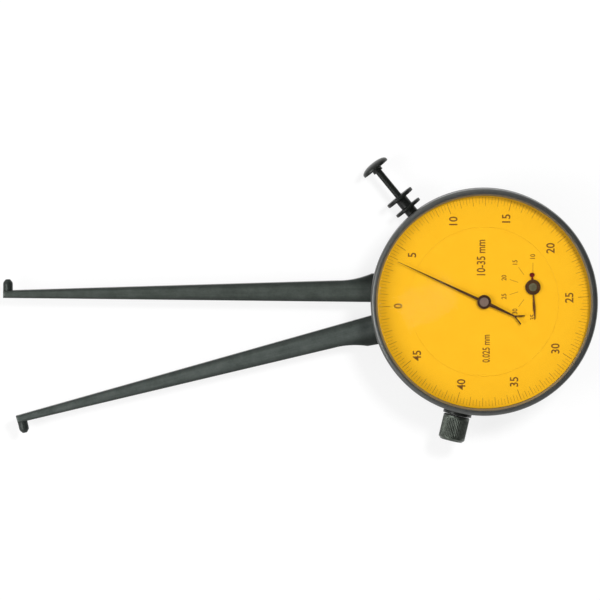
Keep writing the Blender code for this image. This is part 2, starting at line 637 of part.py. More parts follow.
def make_base_plate():
    rim = CASE_INNER - BASE_PLATE_GAP
    notch_half = CROWN_MODULE * (KNOB_PINION_TEETH / 2 + 1) + RUN_GAP
    half_angle = math.degrees(math.asin(notch_half / rim))
    outline = arc((0, 0, 0), rim, KNOB_DIRECTION_DEG + half_angle,
                  KNOB_DIRECTION_DEG + 360 - half_angle, LARGE_STEPS)
    inner = polar(rim - NOTCH_DEPTH, KNOB_DIRECTION_DEG)
    side = polar(notch_half, KNOB_DIRECTION_DEG - 90)
    outline += [inner + side, inner - side]
    bosses = [polar(BOSS_CIRCLE, degrees) for degrees in BOSS_DIRECTIONS_DEG]
    posts = [polar(DIAL_POST_CIRCLE, degrees) for degrees in DIAL_POST_DIRECTIONS_DEG]
    holes = [circle(PIVOT, PIVOT_PIN_RADIUS + FIT_GAP),
             circle(IDLER, IDLER_ARBOR_RADIUS + FIT_GAP),
             circle((0, 0, 0), CENTER_ARBOR_RADIUS + FIT_GAP),
             circle(COUNTER, COUNTER_ARBOR_RADIUS + FIT_GAP),
             circle(STOP_PIN_PLACE, STOP_PIN_RADIUS / 2 + FIT_GAP),
             circle(SPRING_POST_PLACE, SPRING_POST_RADIUS + FIT_GAP)]
    holes += [circle(spot, COVER_SCREW_RADIUS + FIT_GAP) for spot in bosses]
    holes += [circle(spot, DIAL_POST_RADIUS / 2 + FIT_GAP) for spot in posts]
    holes += [circle(spot, PILLAR_SPIGOT_RADIUS + FIT_GAP) for spot in PILLAR_PLACES]
    holes += [circle(spot, FIXED_SCREW_RADIUS + FIT_GAP) for spot in FIXED_SCREW_PLACES]
    plate("base_plate", outline, BASE_LOW, BASE_THICKNESS, "brass", holes)
    for number, spot in enumerate(bosses, 1):
        head_low = BASE_TOP + FIT_GAP
        pin(f"plate_screw_{number}", spot, "bright_steel",
            [(PLATE_HEAD_RADIUS, head_low, head_low + PLATE_HEAD_THICKNESS),
             (COVER_SCREW_RADIUS, head_low - PLATE_SCREW_LENGTH, head_low)])
    for number, spot in enumerate(posts, 1):
        pin(f"dial_post_{number}", spot, "brass",
            [(DIAL_POST_RADIUS, BASE_TOP + FIT_GAP, DIAL_LOW - FIT_GAP),
             (DIAL_POST_RADIUS / 2, BASE_LOW + FIT_GAP, BASE_TOP + FIT_GAP)])


def make_rear_bridge():
    stud = IDLER + polar(HAIRSPRING_OUTER + 2 * HAIRSPRING_WIRE + HAIRSPRING_STUD_RADIUS
                         + FIT_GAP, HAIRSPRING_END_DEG)
    outline = rounded_hull([PIVOT, *PILLAR_PLACES], BRIDGE_EAR_RADIUS, HOLE_STEPS // 2)
    holes = [circle(PIVOT, PIVOT_PIN_RADIUS + FIT_GAP),
             circle(IDLER, IDLER_ARBOR_RADIUS + FIT_GAP),
             circle((0, 0, 0), CENTER_ARBOR_RADIUS + FIT_GAP),
             circle(stud, HAIRSPRING_STUD_RADIUS + FIT_GAP)]
    holes += [circle(spot, PILLAR_SPIGOT_RADIUS + FIT_GAP) for spot in PILLAR_PLACES]
    plate("rear_bridge", outline, BRIDGE_LOW, BRIDGE_THICKNESS, "brass", holes)
    for number, spot in enumerate(PILLAR_PLACES, 1):
        pin(f"bridge_pillar_{number}", spot, "bright_steel",
            [(PILLAR_SPIGOT_RADIUS, BASE_LOW - FIT_GAP, BASE_TOP - FIT_GAP),
             (PILLAR_RADIUS, BRIDGE_TOP + FIT_GAP, BASE_LOW - FIT_GAP),
             (PILLAR_SPIGOT_RADIUS, BRIDGE_LOW + FIT_GAP, BRIDGE_TOP + FIT_GAP)])
    pin("hairspring_stud", stud, "bright_steel",
        [(HAIRSPRING_STUD_RADIUS, BRIDGE_LOW + FIT_GAP, HAIRSPRING_Z + 3 * HAIRSPRING_WIRE)])


# Legs

FLARE_SHARES = ((1.0, 0.0), (0.68, 0.11), (0.37, 0.43), (0.12, 0.78), (0.0, 1.0))
LOBE_DISTANCE = 0.0055
LOBE_RADIUS = 0.0018
SECTOR_SCREW_DISTANCE = 0.0062
SECTOR_DOWEL_DISTANCE = 0.0041
SECTOR_SCREW_RADIUS = 0.0005
SECTOR_DOWEL_RADIUS = 0.0004
SECTOR_HEAD_RADIUS = 0.0009
SECTOR_HEAD_THICKNESS = 0.0004
ROOT_SHARE = 0.5           # depth of a screw or pin in the leg, as a share of its thickness
ARM_ROOT_RADIUS = 0.0046

LOBE_DEG = direction(IDLER - PIVOT) + LEG_TRAVEL_DEG / 2


def make_fixed_leg():
    far = -FIXED_LEG_REACH
    near = -CASE_RADIUS
    neck_x = near - LEG_FLARE_LENGTH
    slope = (FIXED_LEG_TIP_Y - FIXED_LEG_ROOT_Y) / (near - far)

    def low_edge(x):
        return FIXED_LEG_ROOT_Y + slope * (near - x)

    outline = [Vector((far, low_edge(far), 0)), Vector((near, FIXED_LEG_ROOT_Y, 0)),
               Vector((FIXED_ROOT_END_X, FIXED_LEG_ROOT_Y, 0)),
               Vector((FIXED_ROOT_END_X, FIXED_LEG_ROOT_Y + LEG_ROOT_WIDTH, 0))]
    for along, extra in reversed(FLARE_SHARES):
        x = near + (neck_x - near) * along
        width = LEG_NECK_WIDTH + (LEG_ROOT_WIDTH - LEG_NECK_WIDTH) * extra
        outline.append(Vector((x, low_edge(x) + width, 0)))
    outline.append(Vector((far, low_edge(far) + LEG_TIP_WIDTH, 0)))
    holes = [circle(spot, FIXED_SCREW_RADIUS + FIT_GAP) for spot in FIXED_SCREW_PLACES]
    leg = plate("fixed_leg", outline, LEG_LOW, LEG_THICKNESS, "black_steel", holes)
    round_edges(leg, LEG_EDGE_ROUND)
    spacer_low = LEG_TOP + FIT_GAP
    low = FIXED_LEG_ROOT_Y + LEG_EDGE_ROUND
    high = FIXED_LEG_ROOT_Y + LEG_ROOT_WIDTH - LEG_EDGE_ROUND
    left = FIXED_SCREW_PLACES[1].x - FIXED_SCREW_RADIUS - SEAT_GAP
    right = FIXED_SCREW_PLACES[0].x + FIXED_HEAD_RADIUS
    corners = [Vector((left, low, 0)), Vector((right, low, 0)), Vector((right, high, 0)),
               Vector((left, high, 0))]
    plate("fixed_leg_spacer", corners, spacer_low, BASE_LOW - FIT_GAP - spacer_low, "brass",
          holes)
    for number, spot in enumerate(FIXED_SCREW_PLACES, 1):
        head_top = LEG_LOW - FIT_GAP
        pin(f"fixed_leg_screw_{number}", spot, "bright_steel",
            [(FIXED_SCREW_RADIUS, head_top, BASE_TOP - FIT_GAP),
             (FIXED_HEAD_RADIUS, head_top - FIXED_HEAD_THICKNESS, head_top)])
    base = Vector((far + CONTACT_RADIUS, low_edge(far) + LEG_TIP_WIDTH + FIT_GAP, 0))
    make_contact("fixed_contact", base, Vector((0, 1, 0)), None)


def make_contact(name, base, outward, parent):
    """Round-nosed measuring contact that stands on the end of a leg."""
    carrier = joint_empty(name + "_axis", (base.x, base.y, LEG_MID), outward)
    carrier.parent = parent
    shoulder = CONTACT_LENGTH - CONTACT_RADIUS
    nose = [(CONTACT_RADIUS * math.sin(math.radians(angle)),
             shoulder + CONTACT_RADIUS * math.cos(math.radians(angle)))
            for angle in (0, 30, 60, 90)]
    turned(name, [*nose, (CONTACT_RADIUS, 0), (0, 0)], "black_steel", carrier,
           steps=NOSE_STEPS)


def along_leg(outwards, across):
    """Point in the turning leg's own directions, from its pivot: out along its upper edge,
    and across towards its lower edge."""
    out = Vector((-math.cos(OPEN_SLOPE), -math.sin(OPEN_SLOPE), 0))
    down = Vector((math.sin(OPEN_SLOPE), -math.cos(OPEN_SLOPE), 0))
    return out * outwards + down * across


def make_moving_leg(axis):
    case_at = CASE_RADIUS - PIVOT.length + LEG_HUB_RADIUS
    neck_at = case_at + LEG_FLARE_LENGTH
    top = -MOVING_LEG_OFFSET
    end = along_leg(MOVING_LEG_REACH, top + LEG_TIP_WIDTH)
    outline = [along_leg(LEG_HUB_RADIUS, top), along_leg(MOVING_LEG_REACH, top), end]
    for along, extra in FLARE_SHARES:
        width = LEG_NECK_WIDTH + (LEG_ROOT_WIDTH - LEG_NECK_WIDTH) * extra
        outline.append(along_leg(case_at + (neck_at - case_at) * along, top + width))
    outline.append(along_leg(0, LEG_HUB_RADIUS))
    lobe = polar(LOBE_DISTANCE, LOBE_DEG)
    outline += arc(lobe, LOBE_RADIUS, LOBE_DEG - 90, LOBE_DEG + 90, ARC_STEPS)
    outline.append(polar(ARM_ROOT_RADIUS, (LOBE_DEG + ARM_REST_DEG) / 2))
    nose = polar(ARM_LENGTH, ARM_REST_DEG)
    outline += arc(nose, NOSE_RADIUS, ARM_REST_DEG - 90, ARM_REST_DEG + 90, ARC_STEPS)
    outline.append(polar(ARM_ROOT_RADIUS, ARM_REST_DEG + 30))
    holes = [circle((0, 0, 0), PIVOT_PIN_RADIUS + FIT_GAP, 12),
             circle(polar(SECTOR_SCREW_DISTANCE, LOBE_DEG), SECTOR_SCREW_RADIUS + FIT_GAP),
             circle(polar(SECTOR_DOWEL_DISTANCE, LOBE_DEG), SECTOR_DOWEL_RADIUS + FIT_GAP),
             circle(polar(SPRING_PEG_ALONG_ARM, ARM_REST_DEG), SPRING_POST_RADIUS + FIT_GAP)]
    leg = plate("moving_leg", outline, LEG_LOW, LEG_THICKNESS, "black_steel", holes, axis)
    round_edges(leg, LEG_EDGE_ROUND)
    lower_edge = (along_leg(neck_at, top + LEG_NECK_WIDTH) - end).normalized()
    square = Vector((lower_edge.y, -lower_edge.x, 0))
    base = end + lower_edge * CONTACT_RADIUS + square * FIT_GAP
    make_contact("moving_contact", base, square, axis)
    pin("leg_pivot_pin", PIVOT, "bright_steel",
        [(PIVOT_PIN_RADIUS, BRIDGE_LOW + FIT_GAP, BASE_TOP - FIT_GAP)], steps=12)
    pin("stop_pin", STOP_PIN_PLACE, "bright_steel",
        [(STOP_PIN_RADIUS / 2, BASE_LOW - FIT_GAP, BASE_TOP - FIT_GAP),
         (STOP_PIN_RADIUS, LEG_LOW + SEAT_GAP, BASE_LOW - FIT_GAP)])


def make_leg_spring(axis):
    """Pull spring from the push arm to a post on the base plate, in the sector's layer."""
    mid = (LEG_TOP + BASE_LOW) / 2
    pin("spring_peg", polar(SPRING_PEG_ALONG_ARM, ARM_REST_DEG), "bright_steel",
        [(SPRING_POST_RADIUS, LEG_TOP - LEG_THICKNESS * ROOT_SHARE, BASE_LOW - 2 * SEAT_GAP)],
        axis)
    pin("spring_post", SPRING_POST_PLACE, "bright_steel",
        [(SPRING_POST_RADIUS, LEG_TOP + SEAT_GAP, BASE_TOP - FIT_GAP)])
    start = Vector((*SPRING_PEG_PLACE.xy, mid))
    end = Vector((*SPRING_POST_PLACE.xy, mid))
    along = (end - start).normalized()
    side = Vector((-along.y, along.x, 0))
    up = Vector((0, 0, 1))
    eye = SPRING_POST_RADIUS + SPRING_WIRE_RADIUS + FIT_GAP
    first_eye = [start - along * eye * math.cos(a) + side * eye * math.sin(a)
                 for a in (math.radians(45 * i - 45) for i in range(6))]
    last_eye = [end + along * eye * math.cos(a) - side * eye * math.sin(a)
                for a in (math.radians(180 - 45 * i) for i in range(6))]
    neck = 2 * eye
    coil_start = start + along * neck
    coil_end = end - along * neck
    turns = []
    count = 8 * SPRING_TURNS
    for i in range(count + 1):
        angle = 2 * math.pi * i / 8
        turns.append(coil_start.lerp(coil_end, i / count)
                     + side * SPRING_COIL_RADIUS * math.cos(angle)
                     + up * SPRING_COIL_RADIUS * math.sin(angle))
    wire("leg_spring", [*first_eye, *turns, *last_eye[1:]], SPRING_WIRE_RADIUS, "bright_steel")


# Gear train

SECTOR_RIM_WIDTH = 0.0014
SECTOR_SPOKE_DEG = 3.0
SECTOR_WINDOW_SPACE = 0.003685  # pinion's tips to the inner side of the sector's window
SECTOR_MARGIN_DEG = 0.9
PINION_FACE = 0.0014
WHEEL_LOW_GAP = 0.0010     # above the underside of the legs
WHEEL_THICKNESS = 0.0007
ARBOR_COLLAR = 0.00015
HAIRSPRING_WIRE = 0.00009
HAIRSPRING_INNER = 0.0010
HAIRSPRING_OUTER = 0.0040
HAIRSPRING_TURNS = 3
HAIRSPRING_END_DEG = 60.0
HAIRSPRING_STUD_RADIUS = 0.00045

SECTOR_WINDOW_INNER = (SECTOR_DISTANCE - SECTOR_WINDOW_SPACE - TRAIN_MODULE
                       * (SECTOR_PINION_TEETH / 2 + PINION_TOOTH_SHARES["addendum_share"]))
WHEEL_LOW = LEG_LOW + WHEEL_LOW_GAP
HAIRSPRING_Z = (BRIDGE_TOP + WHEEL_LOW) / 2
SECTOR_LINE_DEG = direction(IDLER - PIVOT)
WHEEL_LINE_DEG = direction(-IDLER)


def make_sector(axis):
    """Plate with a window, whose outer side carries inward teeth."""
    pitch_deg = 360 / SECTOR_FULL_TEETH
    pitch_radius = TRAIN_MODULE * SECTOR_FULL_TEETH / 2
    root_radius = pitch_radius + TRAIN_MODULE * WHEEL_TOOTH_SHARES["dedendum_share"]
    tip_radius = pitch_radius - TRAIN_MODULE * WHEEL_TOOTH_SHARES["addendum_share"]
    pinion_half = math.degrees(math.asin(
        TRAIN_MODULE * (SECTOR_PINION_TEETH / 2 + 1) / SECTOR_DISTANCE))
    low_deg = SECTOR_LINE_DEG - pinion_half - SECTOR_MARGIN_DEG
    high_deg = SECTOR_LINE_DEG + LEG_TRAVEL_DEG + pinion_half + SECTOR_MARGIN_DEG
    rim_radius = root_radius + SECTOR_RIM_WIDTH
    outline = arc((0, 0, 0), rim_radius, low_deg - SECTOR_SPOKE_DEG, high_deg + SECTOR_SPOKE_DEG,
                  12)
    outline += arc((0, 0, 0), LEG_HUB_RADIUS, LOBE_DEG + 80, LOBE_DEG + 280, 8)
    first = math.ceil((low_deg - SECTOR_LINE_DEG) / pitch_deg + 0.5)
    last = math.floor((high_deg - SECTOR_LINE_DEG) / pitch_deg - 0.5)
    window = [polar(root_radius, low_deg)]
    for i in range(first, last + 1):
        middle = SECTOR_LINE_DEG + i * pitch_deg
        half = pitch_deg * WHEEL_TOOTH_SHARES["tip_share"] / 2
        window.append(polar(root_radius, middle - pitch_deg / 2))
        window.append(polar(tip_radius, middle - half))
        window.append(polar(tip_radius, middle + half))
    window.append(polar(root_radius, middle + pitch_deg / 2))
    window.append(polar(root_radius, high_deg))
    window += arc((0, 0, 0), SECTOR_WINDOW_INNER, high_deg, low_deg, 6)
    holes = [window, circle((0, 0, 0), PIVOT_PIN_RADIUS + FIT_GAP, 12),
             circle(polar(SECTOR_SCREW_DISTANCE, LOBE_DEG), SECTOR_SCREW_RADIUS + FIT_GAP),
             circle(polar(SECTOR_DOWEL_DISTANCE, LOBE_DEG), SECTOR_DOWEL_RADIUS + FIT_GAP)]
    plate("sector_gear", outline, SECTOR_LOW, SECTOR_THICKNESS, "brass", holes, axis)
    head_low = SECTOR_TOP + FIT_GAP
    root_low = LEG_TOP - LEG_THICKNESS * ROOT_SHARE
    pin("sector_screw", polar(SECTOR_SCREW_DISTANCE, LOBE_DEG), "bright_steel",
        [(SECTOR_HEAD_RADIUS, head_low, head_low + SECTOR_HEAD_THICKNESS),
         (SECTOR_SCREW_RADIUS, root_low, head_low)], axis)
    pin("sector_dowel", polar(SECTOR_DOWEL_DISTANCE, LOBE_DEG), "bright_steel",
        [(SECTOR_DOWEL_RADIUS, root_low, SECTOR_TOP)], axis)


def make_idler(axis):
    pinion = gear_outline(SECTOR_PINION_TEETH, TRAIN_MODULE,
                          SECTOR_LINE_DEG + 180 / SECTOR_PINION_TEETH, **PINION_TOOTH_SHARES)
    bore = IDLER_ARBOR_RADIUS + FIT_GAP
    pinion_low = (SECTOR_LOW + SECTOR_TOP - PINION_FACE) / 2
    plate("sector_pinion", pinion, pinion_low, PINION_FACE, "bright_steel",
          [circle((0, 0, 0), bore)], axis)
    wheel = gear_outline(WHEEL_TEETH, TRAIN_MODULE, WHEEL_LINE_DEG, **WHEEL_TOOTH_SHARES)
    plate("intermediate_wheel", wheel, WHEEL_LOW, WHEEL_THICKNESS, "brass",
          [circle((0, 0, 0), bore)], axis)
    collar = IDLER_ARBOR_RADIUS + ARBOR_COLLAR
    pin("idler_arbor", (0, 0, 0), "bright_steel",
        [(IDLER_ARBOR_RADIUS, WHEEL_LOW - FIT_GAP, BASE_TOP - FIT_GAP),
         (collar, BRIDGE_TOP + RUN_GAP, WHEEL_LOW - FIT_GAP),
         (IDLER_ARBOR_RADIUS, BRIDGE_LOW + FIT_GAP, BRIDGE_TOP + RUN_GAP)], axis)


def make_hairspring():
    """Flat spiral that takes up the play of the train, from the idler's collar to its stud."""
    count = int(12 * HAIRSPRING_TURNS)
    points = []
    for i in range(count + 1):
        share = i / count
        radius = HAIRSPRING_INNER + (HAIRSPRING_OUTER - HAIRSPRING_INNER) * share
        spot = IDLER + polar(radius, HAIRSPRING_END_DEG - 360 * HAIRSPRING_TURNS * (1 - share))
        points.append((spot.x, spot.y, HAIRSPRING_Z))
    wire("hairspring", points, HAIRSPRING_WIRE, "bright_steel")


def make_center(axis):
    pinion = gear_outline(CENTER_PINION_TEETH, TRAIN_MODULE,
                          meshing_phase(WHEEL_LINE_DEG, CENTER_PINION_TEETH), **PINION_TOOTH_SHARES)
    bore = [circle((0, 0, 0), CENTER_ARBOR_RADIUS + FIT_GAP, 8)]
    middle = WHEEL_LOW + WHEEL_THICKNESS / 2
    plate("center_pinion", pinion, middle - PINION_FACE / 2, PINION_FACE, "bright_steel", bore,
          axis)
    second = gear_outline(COUNTER_PINION_TEETH, COUNTER_MODULE, COUNTER_DIRECTION_DEG,
                          **PINION_TOOTH_SHARES)
    plate("counter_pinion", second, COUNTER_LOW, COUNTER_WHEEL_THICKNESS + RUN_GAP,
          "bright_steel", bore, axis)
    pin("center_arbor", (0, 0, 0), "bright_steel",
        [(CENTER_ARBOR_RADIUS, BRIDGE_LOW + FIT_GAP, DIAL_TOP + HAND_SPACE / 2)], axis)


def make_counter(axis):
    wheel = gear_outline(COUNTER_WHEEL_TEETH, COUNTER_MODULE,
                         meshing_phase(COUNTER_DIRECTION_DEG, COUNTER_WHEEL_TEETH),
                         **WHEEL_TOOTH_SHARES)
    plate("counter_wheel", wheel, COUNTER_LOW, COUNTER_WHEEL_THICKNESS, "brass",
          [circle((0, 0, 0), COUNTER_ARBOR_RADIUS + FIT_GAP)], axis)
    collar = COUNTER_ARBOR_RADIUS + ARBOR_COLLAR
    pin("counter_arbor", (0, 0, 0), "bright_steel",
        [(COUNTER_ARBOR_RADIUS, DIAL_LOW - 2 * SEAT_GAP, COUNTER_POINTER_LOW + POINTER_THICKNESS),
         (collar, COUNTER_TOP + FIT_GAP, DIAL_LOW - 2 * SEAT_GAP),
         (COUNTER_ARBOR_RADIUS, BASE_LOW + FIT_GAP, COUNTER_TOP + FIT_GAP)], axis)


# Dial, scale ring and hands

HUB_STEM_RADIUS = 0.0008
HUB_BOSS_RADIUS = 0.0012
HUB_FLANGE_THICKNESS = 0.00018
NEEDLE_ROOT_HALF = 0.00036
NEEDLE_TIP_HALF = 0.00009
TAIL_HALF = 0.00028
FORK_HALF = 0.00105
FORK_DEPTH = 0.0017
COUNTER_NEEDLE_HALF = 0.0003
COUNTER_BLOB_RADIUS = 0.00055
NEEDLE_ROOT_SHARE = 0.8    # where the needle leaves its hub, as a share of the hub's radius
COUNTER_ROOT_SHARE = 0.6
FORK_TIP_SHARE = 0.9
NEEDLE_WIDEST_SHARE = 0.62
COUNTER_NECK_SHARE = 0.6

COUNTER_POINTER_LOW = DIAL_TOP + RUN_GAP / 2
COUNTER_FLANGE_LOW = COUNTER_POINTER_LOW + POINTER_THICKNESS + FIT_GAP / 2
COUNTER_HUB_TOP = COUNTER_FLANGE_LOW + HUB_FLANGE_THICKNESS
MAIN_POINTER_LOW = COUNTER_HUB_TOP + 2 * FIT_GAP
MAIN_HUB_LOW = DIAL_TOP + RUN_GAP / 2


def make_dial():
    plate("inner_dial", circle((0, 0, 0), INNER_DIAL_RADIUS, LARGE_STEPS), DIAL_LOW,
          DIAL_THICKNESS, "yellow_dial",
          [circle((0, 0, 0), CENTER_ARBOR_RADIUS + 2 * FIT_GAP),
           circle(COUNTER, COUNTER_ARBOR_RADIUS + 2 * FIT_GAP)])


def make_scale_ring(axis):
    turned("scale_ring", [
        (SCALE_RADIUS, DIAL_TOP), (SCALE_RADIUS, DIAL_LOW),
        (INNER_DIAL_RADIUS + RING_SPACE, DIAL_LOW), (INNER_DIAL_RADIUS + RING_SPACE, DIAL_TOP)],
        "yellow_dial", axis, ring=True, steps=LARGE_STEPS)


def make_crown(axis):
    """Ring under the scale whose teeth point down. Each station is one step round it: the
    underside rises and falls from tooth to tooth while the top stays flat."""
    inner = CROWN_RADIUS - CROWN_FACE / 2
    outer = CROWN_RADIUS + CROWN_FACE / 2
    pitch = 360 / CROWN_TEETH
    tip_half = pitch * CROWN_TOOTH_SHARES["tip_share"] / 2
    stations = []
    for i in range(CROWN_TEETH):
        middle = KNOB_DIRECTION_DEG + i * pitch
        stations.append((middle - tip_half, CROWN_TIP))
        stations.append((middle + tip_half, CROWN_TIP))
        stations.append((middle + pitch / 2, CROWN_ROOT))
    corners = []
    for degrees, low in stations:
        for radius, height in ((inner, low), (outer, low), (outer, CROWN_TOP),
                               (inner, CROWN_TOP)):
            spot = polar(radius, degrees)
            corners.append((spot.x, spot.y, height))
    count = len(stations)
    faces = []
    for i in range(count):
        here = 4 * i
        there = 4 * ((i + 1) % count)
        for side in range(4):
            other = (side + 1) % 4
            faces.append((here + side, there + side, there + other, here + other))
    mesh = bpy.data.meshes.new("crown_gear")
    mesh.from_pydata(corners, [], faces)
    sculpt = bmesh.new()
    sculpt.from_mesh(mesh)
    face_outwards(sculpt)
    sculpt.to_mesh(mesh)
    sculpt.free()
    add_object("crown_gear", mesh, "brass", axis)


def make_main_hand(axis):
    root = MAIN_HUB_RADIUS * NEEDLE_ROOT_SHARE
    tail_end = MAIN_TAIL_LENGTH - FORK_DEPTH
    hub_ring = arc((0, 0, 0), MAIN_HUB_RADIUS, 20, 160, ARC_STEPS)
    upper = [Vector((MAIN_HAND_LENGTH, NEEDLE_TIP_HALF, 0)), Vector((root, NEEDLE_ROOT_HALF, 0)),
             *hub_ring, Vector((-tail_end, TAIL_HALF, 0)),
             Vector((-tail_end - FORK_DEPTH / 3, FORK_HALF, 0)),
             Vector((-MAIN_TAIL_LENGTH, FORK_HALF * FORK_TIP_SHARE, 0)),
             Vector((-tail_end - FORK_DEPTH / 2, TAIL_HALF, 0))]
    lower = [Vector((p.x, -p.y, 0)) for p in reversed(upper)]
    bore = circle((0, 0, 0), HUB_BOSS_RADIUS + FIT_GAP)
    plate("main_pointer", upper + lower, MAIN_POINTER_LOW, POINTER_THICKNESS, "hand_black",
          [bore], axis, MAIN_HAND_REST_DEG)
    arbor_top = DIAL_TOP + HAND_SPACE / 2
    turned("main_hub", [
        (0, CRYSTAL_LOW - RUN_GAP), (HUB_BOSS_RADIUS, CRYSTAL_LOW - RUN_GAP),
        (HUB_BOSS_RADIUS, MAIN_POINTER_LOW - FIT_GAP),
        (MAIN_HUB_RADIUS, MAIN_POINTER_LOW - FIT_GAP), (MAIN_HUB_RADIUS, MAIN_HUB_LOW),
        (CENTER_ARBOR_RADIUS + FIT_GAP, MAIN_HUB_LOW),
        (CENTER_ARBOR_RADIUS + FIT_GAP, arbor_top + FIT_GAP), (0, arbor_top + FIT_GAP)],
        "bright_steel", axis, steps=NOSE_STEPS)


def make_counter_hand(axis):
    root = COUNTER_HUB_RADIUS * COUNTER_ROOT_SHARE
    reach = COUNTER_HAND_LENGTH
    tail = COUNTER_TAIL_LENGTH
    upper = [Vector((reach, NEEDLE_TIP_HALF, 0)),
             Vector((reach * NEEDLE_WIDEST_SHARE, COUNTER_NEEDLE_HALF, 0)),
             Vector((COUNTER_HUB_RADIUS, COUNTER_NEEDLE_HALF * COUNTER_NECK_SHARE, 0)),
             *arc((0, 0, 0), root, 30, 150, 4),
             Vector((-tail + COUNTER_BLOB_RADIUS, NEEDLE_TIP_HALF * 2, 0)),
             *arc((-tail, 0, 0), COUNTER_BLOB_RADIUS, 60, 150, 2)]
    lower = [Vector((p.x, -p.y, 0)) for p in reversed(upper)]
    bore = circle((0, 0, 0), HUB_STEM_RADIUS + FIT_GAP / 2)
    plate("counter_pointer", upper + lower, COUNTER_POINTER_LOW, POINTER_THICKNESS,
          "hand_black", [bore], axis, COUNTER_HAND_REST_DEG)
    arbor_top = COUNTER_POINTER_LOW + POINTER_THICKNESS
    turned("counter_hub", [
        (0, COUNTER_HUB_TOP), (COUNTER_HUB_RADIUS, COUNTER_HUB_TOP),
        (COUNTER_HUB_RADIUS, COUNTER_FLANGE_LOW), (HUB_STEM_RADIUS, COUNTER_FLANGE_LOW),
        (HUB_STEM_RADIUS, COUNTER_POINTER_LOW), (COUNTER_ARBOR_RADIUS + FIT_GAP,
                                                 COUNTER_POINTER_LOW),
        (COUNTER_ARBOR_RADIUS + FIT_GAP, arbor_top + FIT_GAP / 2),
        (0, arbor_top + FIT_GAP / 2)], "hand_black", axis, steps=NOSE_STEPS)


# Push button

CLIP_RADIUS = 0.0017
CLIP_THICKNESS = 0.0005
GUIDE_PROUD = 0.0010       # guide past the inside of the case

GUIDE_INNER_END = CASE_INNER - GUIDE_PROUD
CAP_EDGE = 0.0004
CAP_BOSS_RADIUS = 0.0012


def make_button(axis):
    guide_axis = joint_empty("button_guide_axis", (0, 0, LEG_MID), BUTTON_OUTWARD)
    bore = ROD_RADIUS + FIT_GAP
    top_low = GUIDE_TOP_REACH - GUIDE_TOP_THICKNESS
    nut_low = GUIDE_NUT_REACH - GUIDE_NUT_THICKNESS
    turned("button_guide", [
        (GUIDE_TOP_RADIUS, GUIDE_TOP_REACH), (GUIDE_TOP_RADIUS, top_low),
        (GUIDE_NECK_RADIUS, top_low), (GUIDE_NECK_RADIUS, GUIDE_NUT_REACH),
        (GUIDE_NUT_RADIUS, GUIDE_NUT_REACH), (GUIDE_NUT_RADIUS, nut_low),
        (GUIDE_NECK_RADIUS, nut_low), (GUIDE_NECK_RADIUS, GUIDE_INNER_END),
        (bore, GUIDE_INNER_END), (bore, GUIDE_TOP_REACH)],
        "black_steel", guide_axis, ring=True, steps=CURVE_STEPS)
    cap_low = BUTTON_REACH - BUTTON_CAP_THICKNESS
    socket = cap_low + BUTTON_CAP_THICKNESS / 2
    rise = BUTTON_CAP_THICKNESS - CAP_EDGE
    dome_radius = (BUTTON_CAP_RADIUS ** 2 + rise ** 2) / (2 * rise)
    dome_half = math.asin(BUTTON_CAP_RADIUS / dome_radius)
    dome = [(dome_radius * math.sin(angle), BUTTON_REACH - dome_radius * (1 - math.cos(angle)))
            for angle in (dome_half * i / ARC_STEPS for i in range(ARC_STEPS + 1))]
    turned("button_cap", [
        *dome, (BUTTON_CAP_RADIUS - CAP_EDGE / 2, cap_low), (CAP_BOSS_RADIUS, cap_low),
        (CAP_BOSS_RADIUS, cap_low - CAP_BOSS_LENGTH),
        (bore, cap_low - CAP_BOSS_LENGTH), (bore, socket), (0, socket)],
        "black_steel", axis, steps=KNOB_STEPS)
    turned("push_rod", [
        (0, socket - FIT_GAP), (ROD_RADIUS, socket - FIT_GAP), (ROD_RADIUS, ROD_INNER_END),
        (0, ROD_INNER_END)], "black_steel", axis, steps=12)
    clip_top = GUIDE_INNER_END - SEAT_GAP
    turned("rod_clip", [
        (CLIP_RADIUS, clip_top), (CLIP_RADIUS, clip_top - CLIP_THICKNESS),
        (bore, clip_top - CLIP_THICKNESS), (bore, clip_top)], "bright_steel", axis, ring=True)


# Zero-setting knob

KNOB_BUSH_RADIUS = 0.0016
KNOB_SOCKET_SHARE = 0.69   # depth of the shaft's socket, as a share of the knob's length


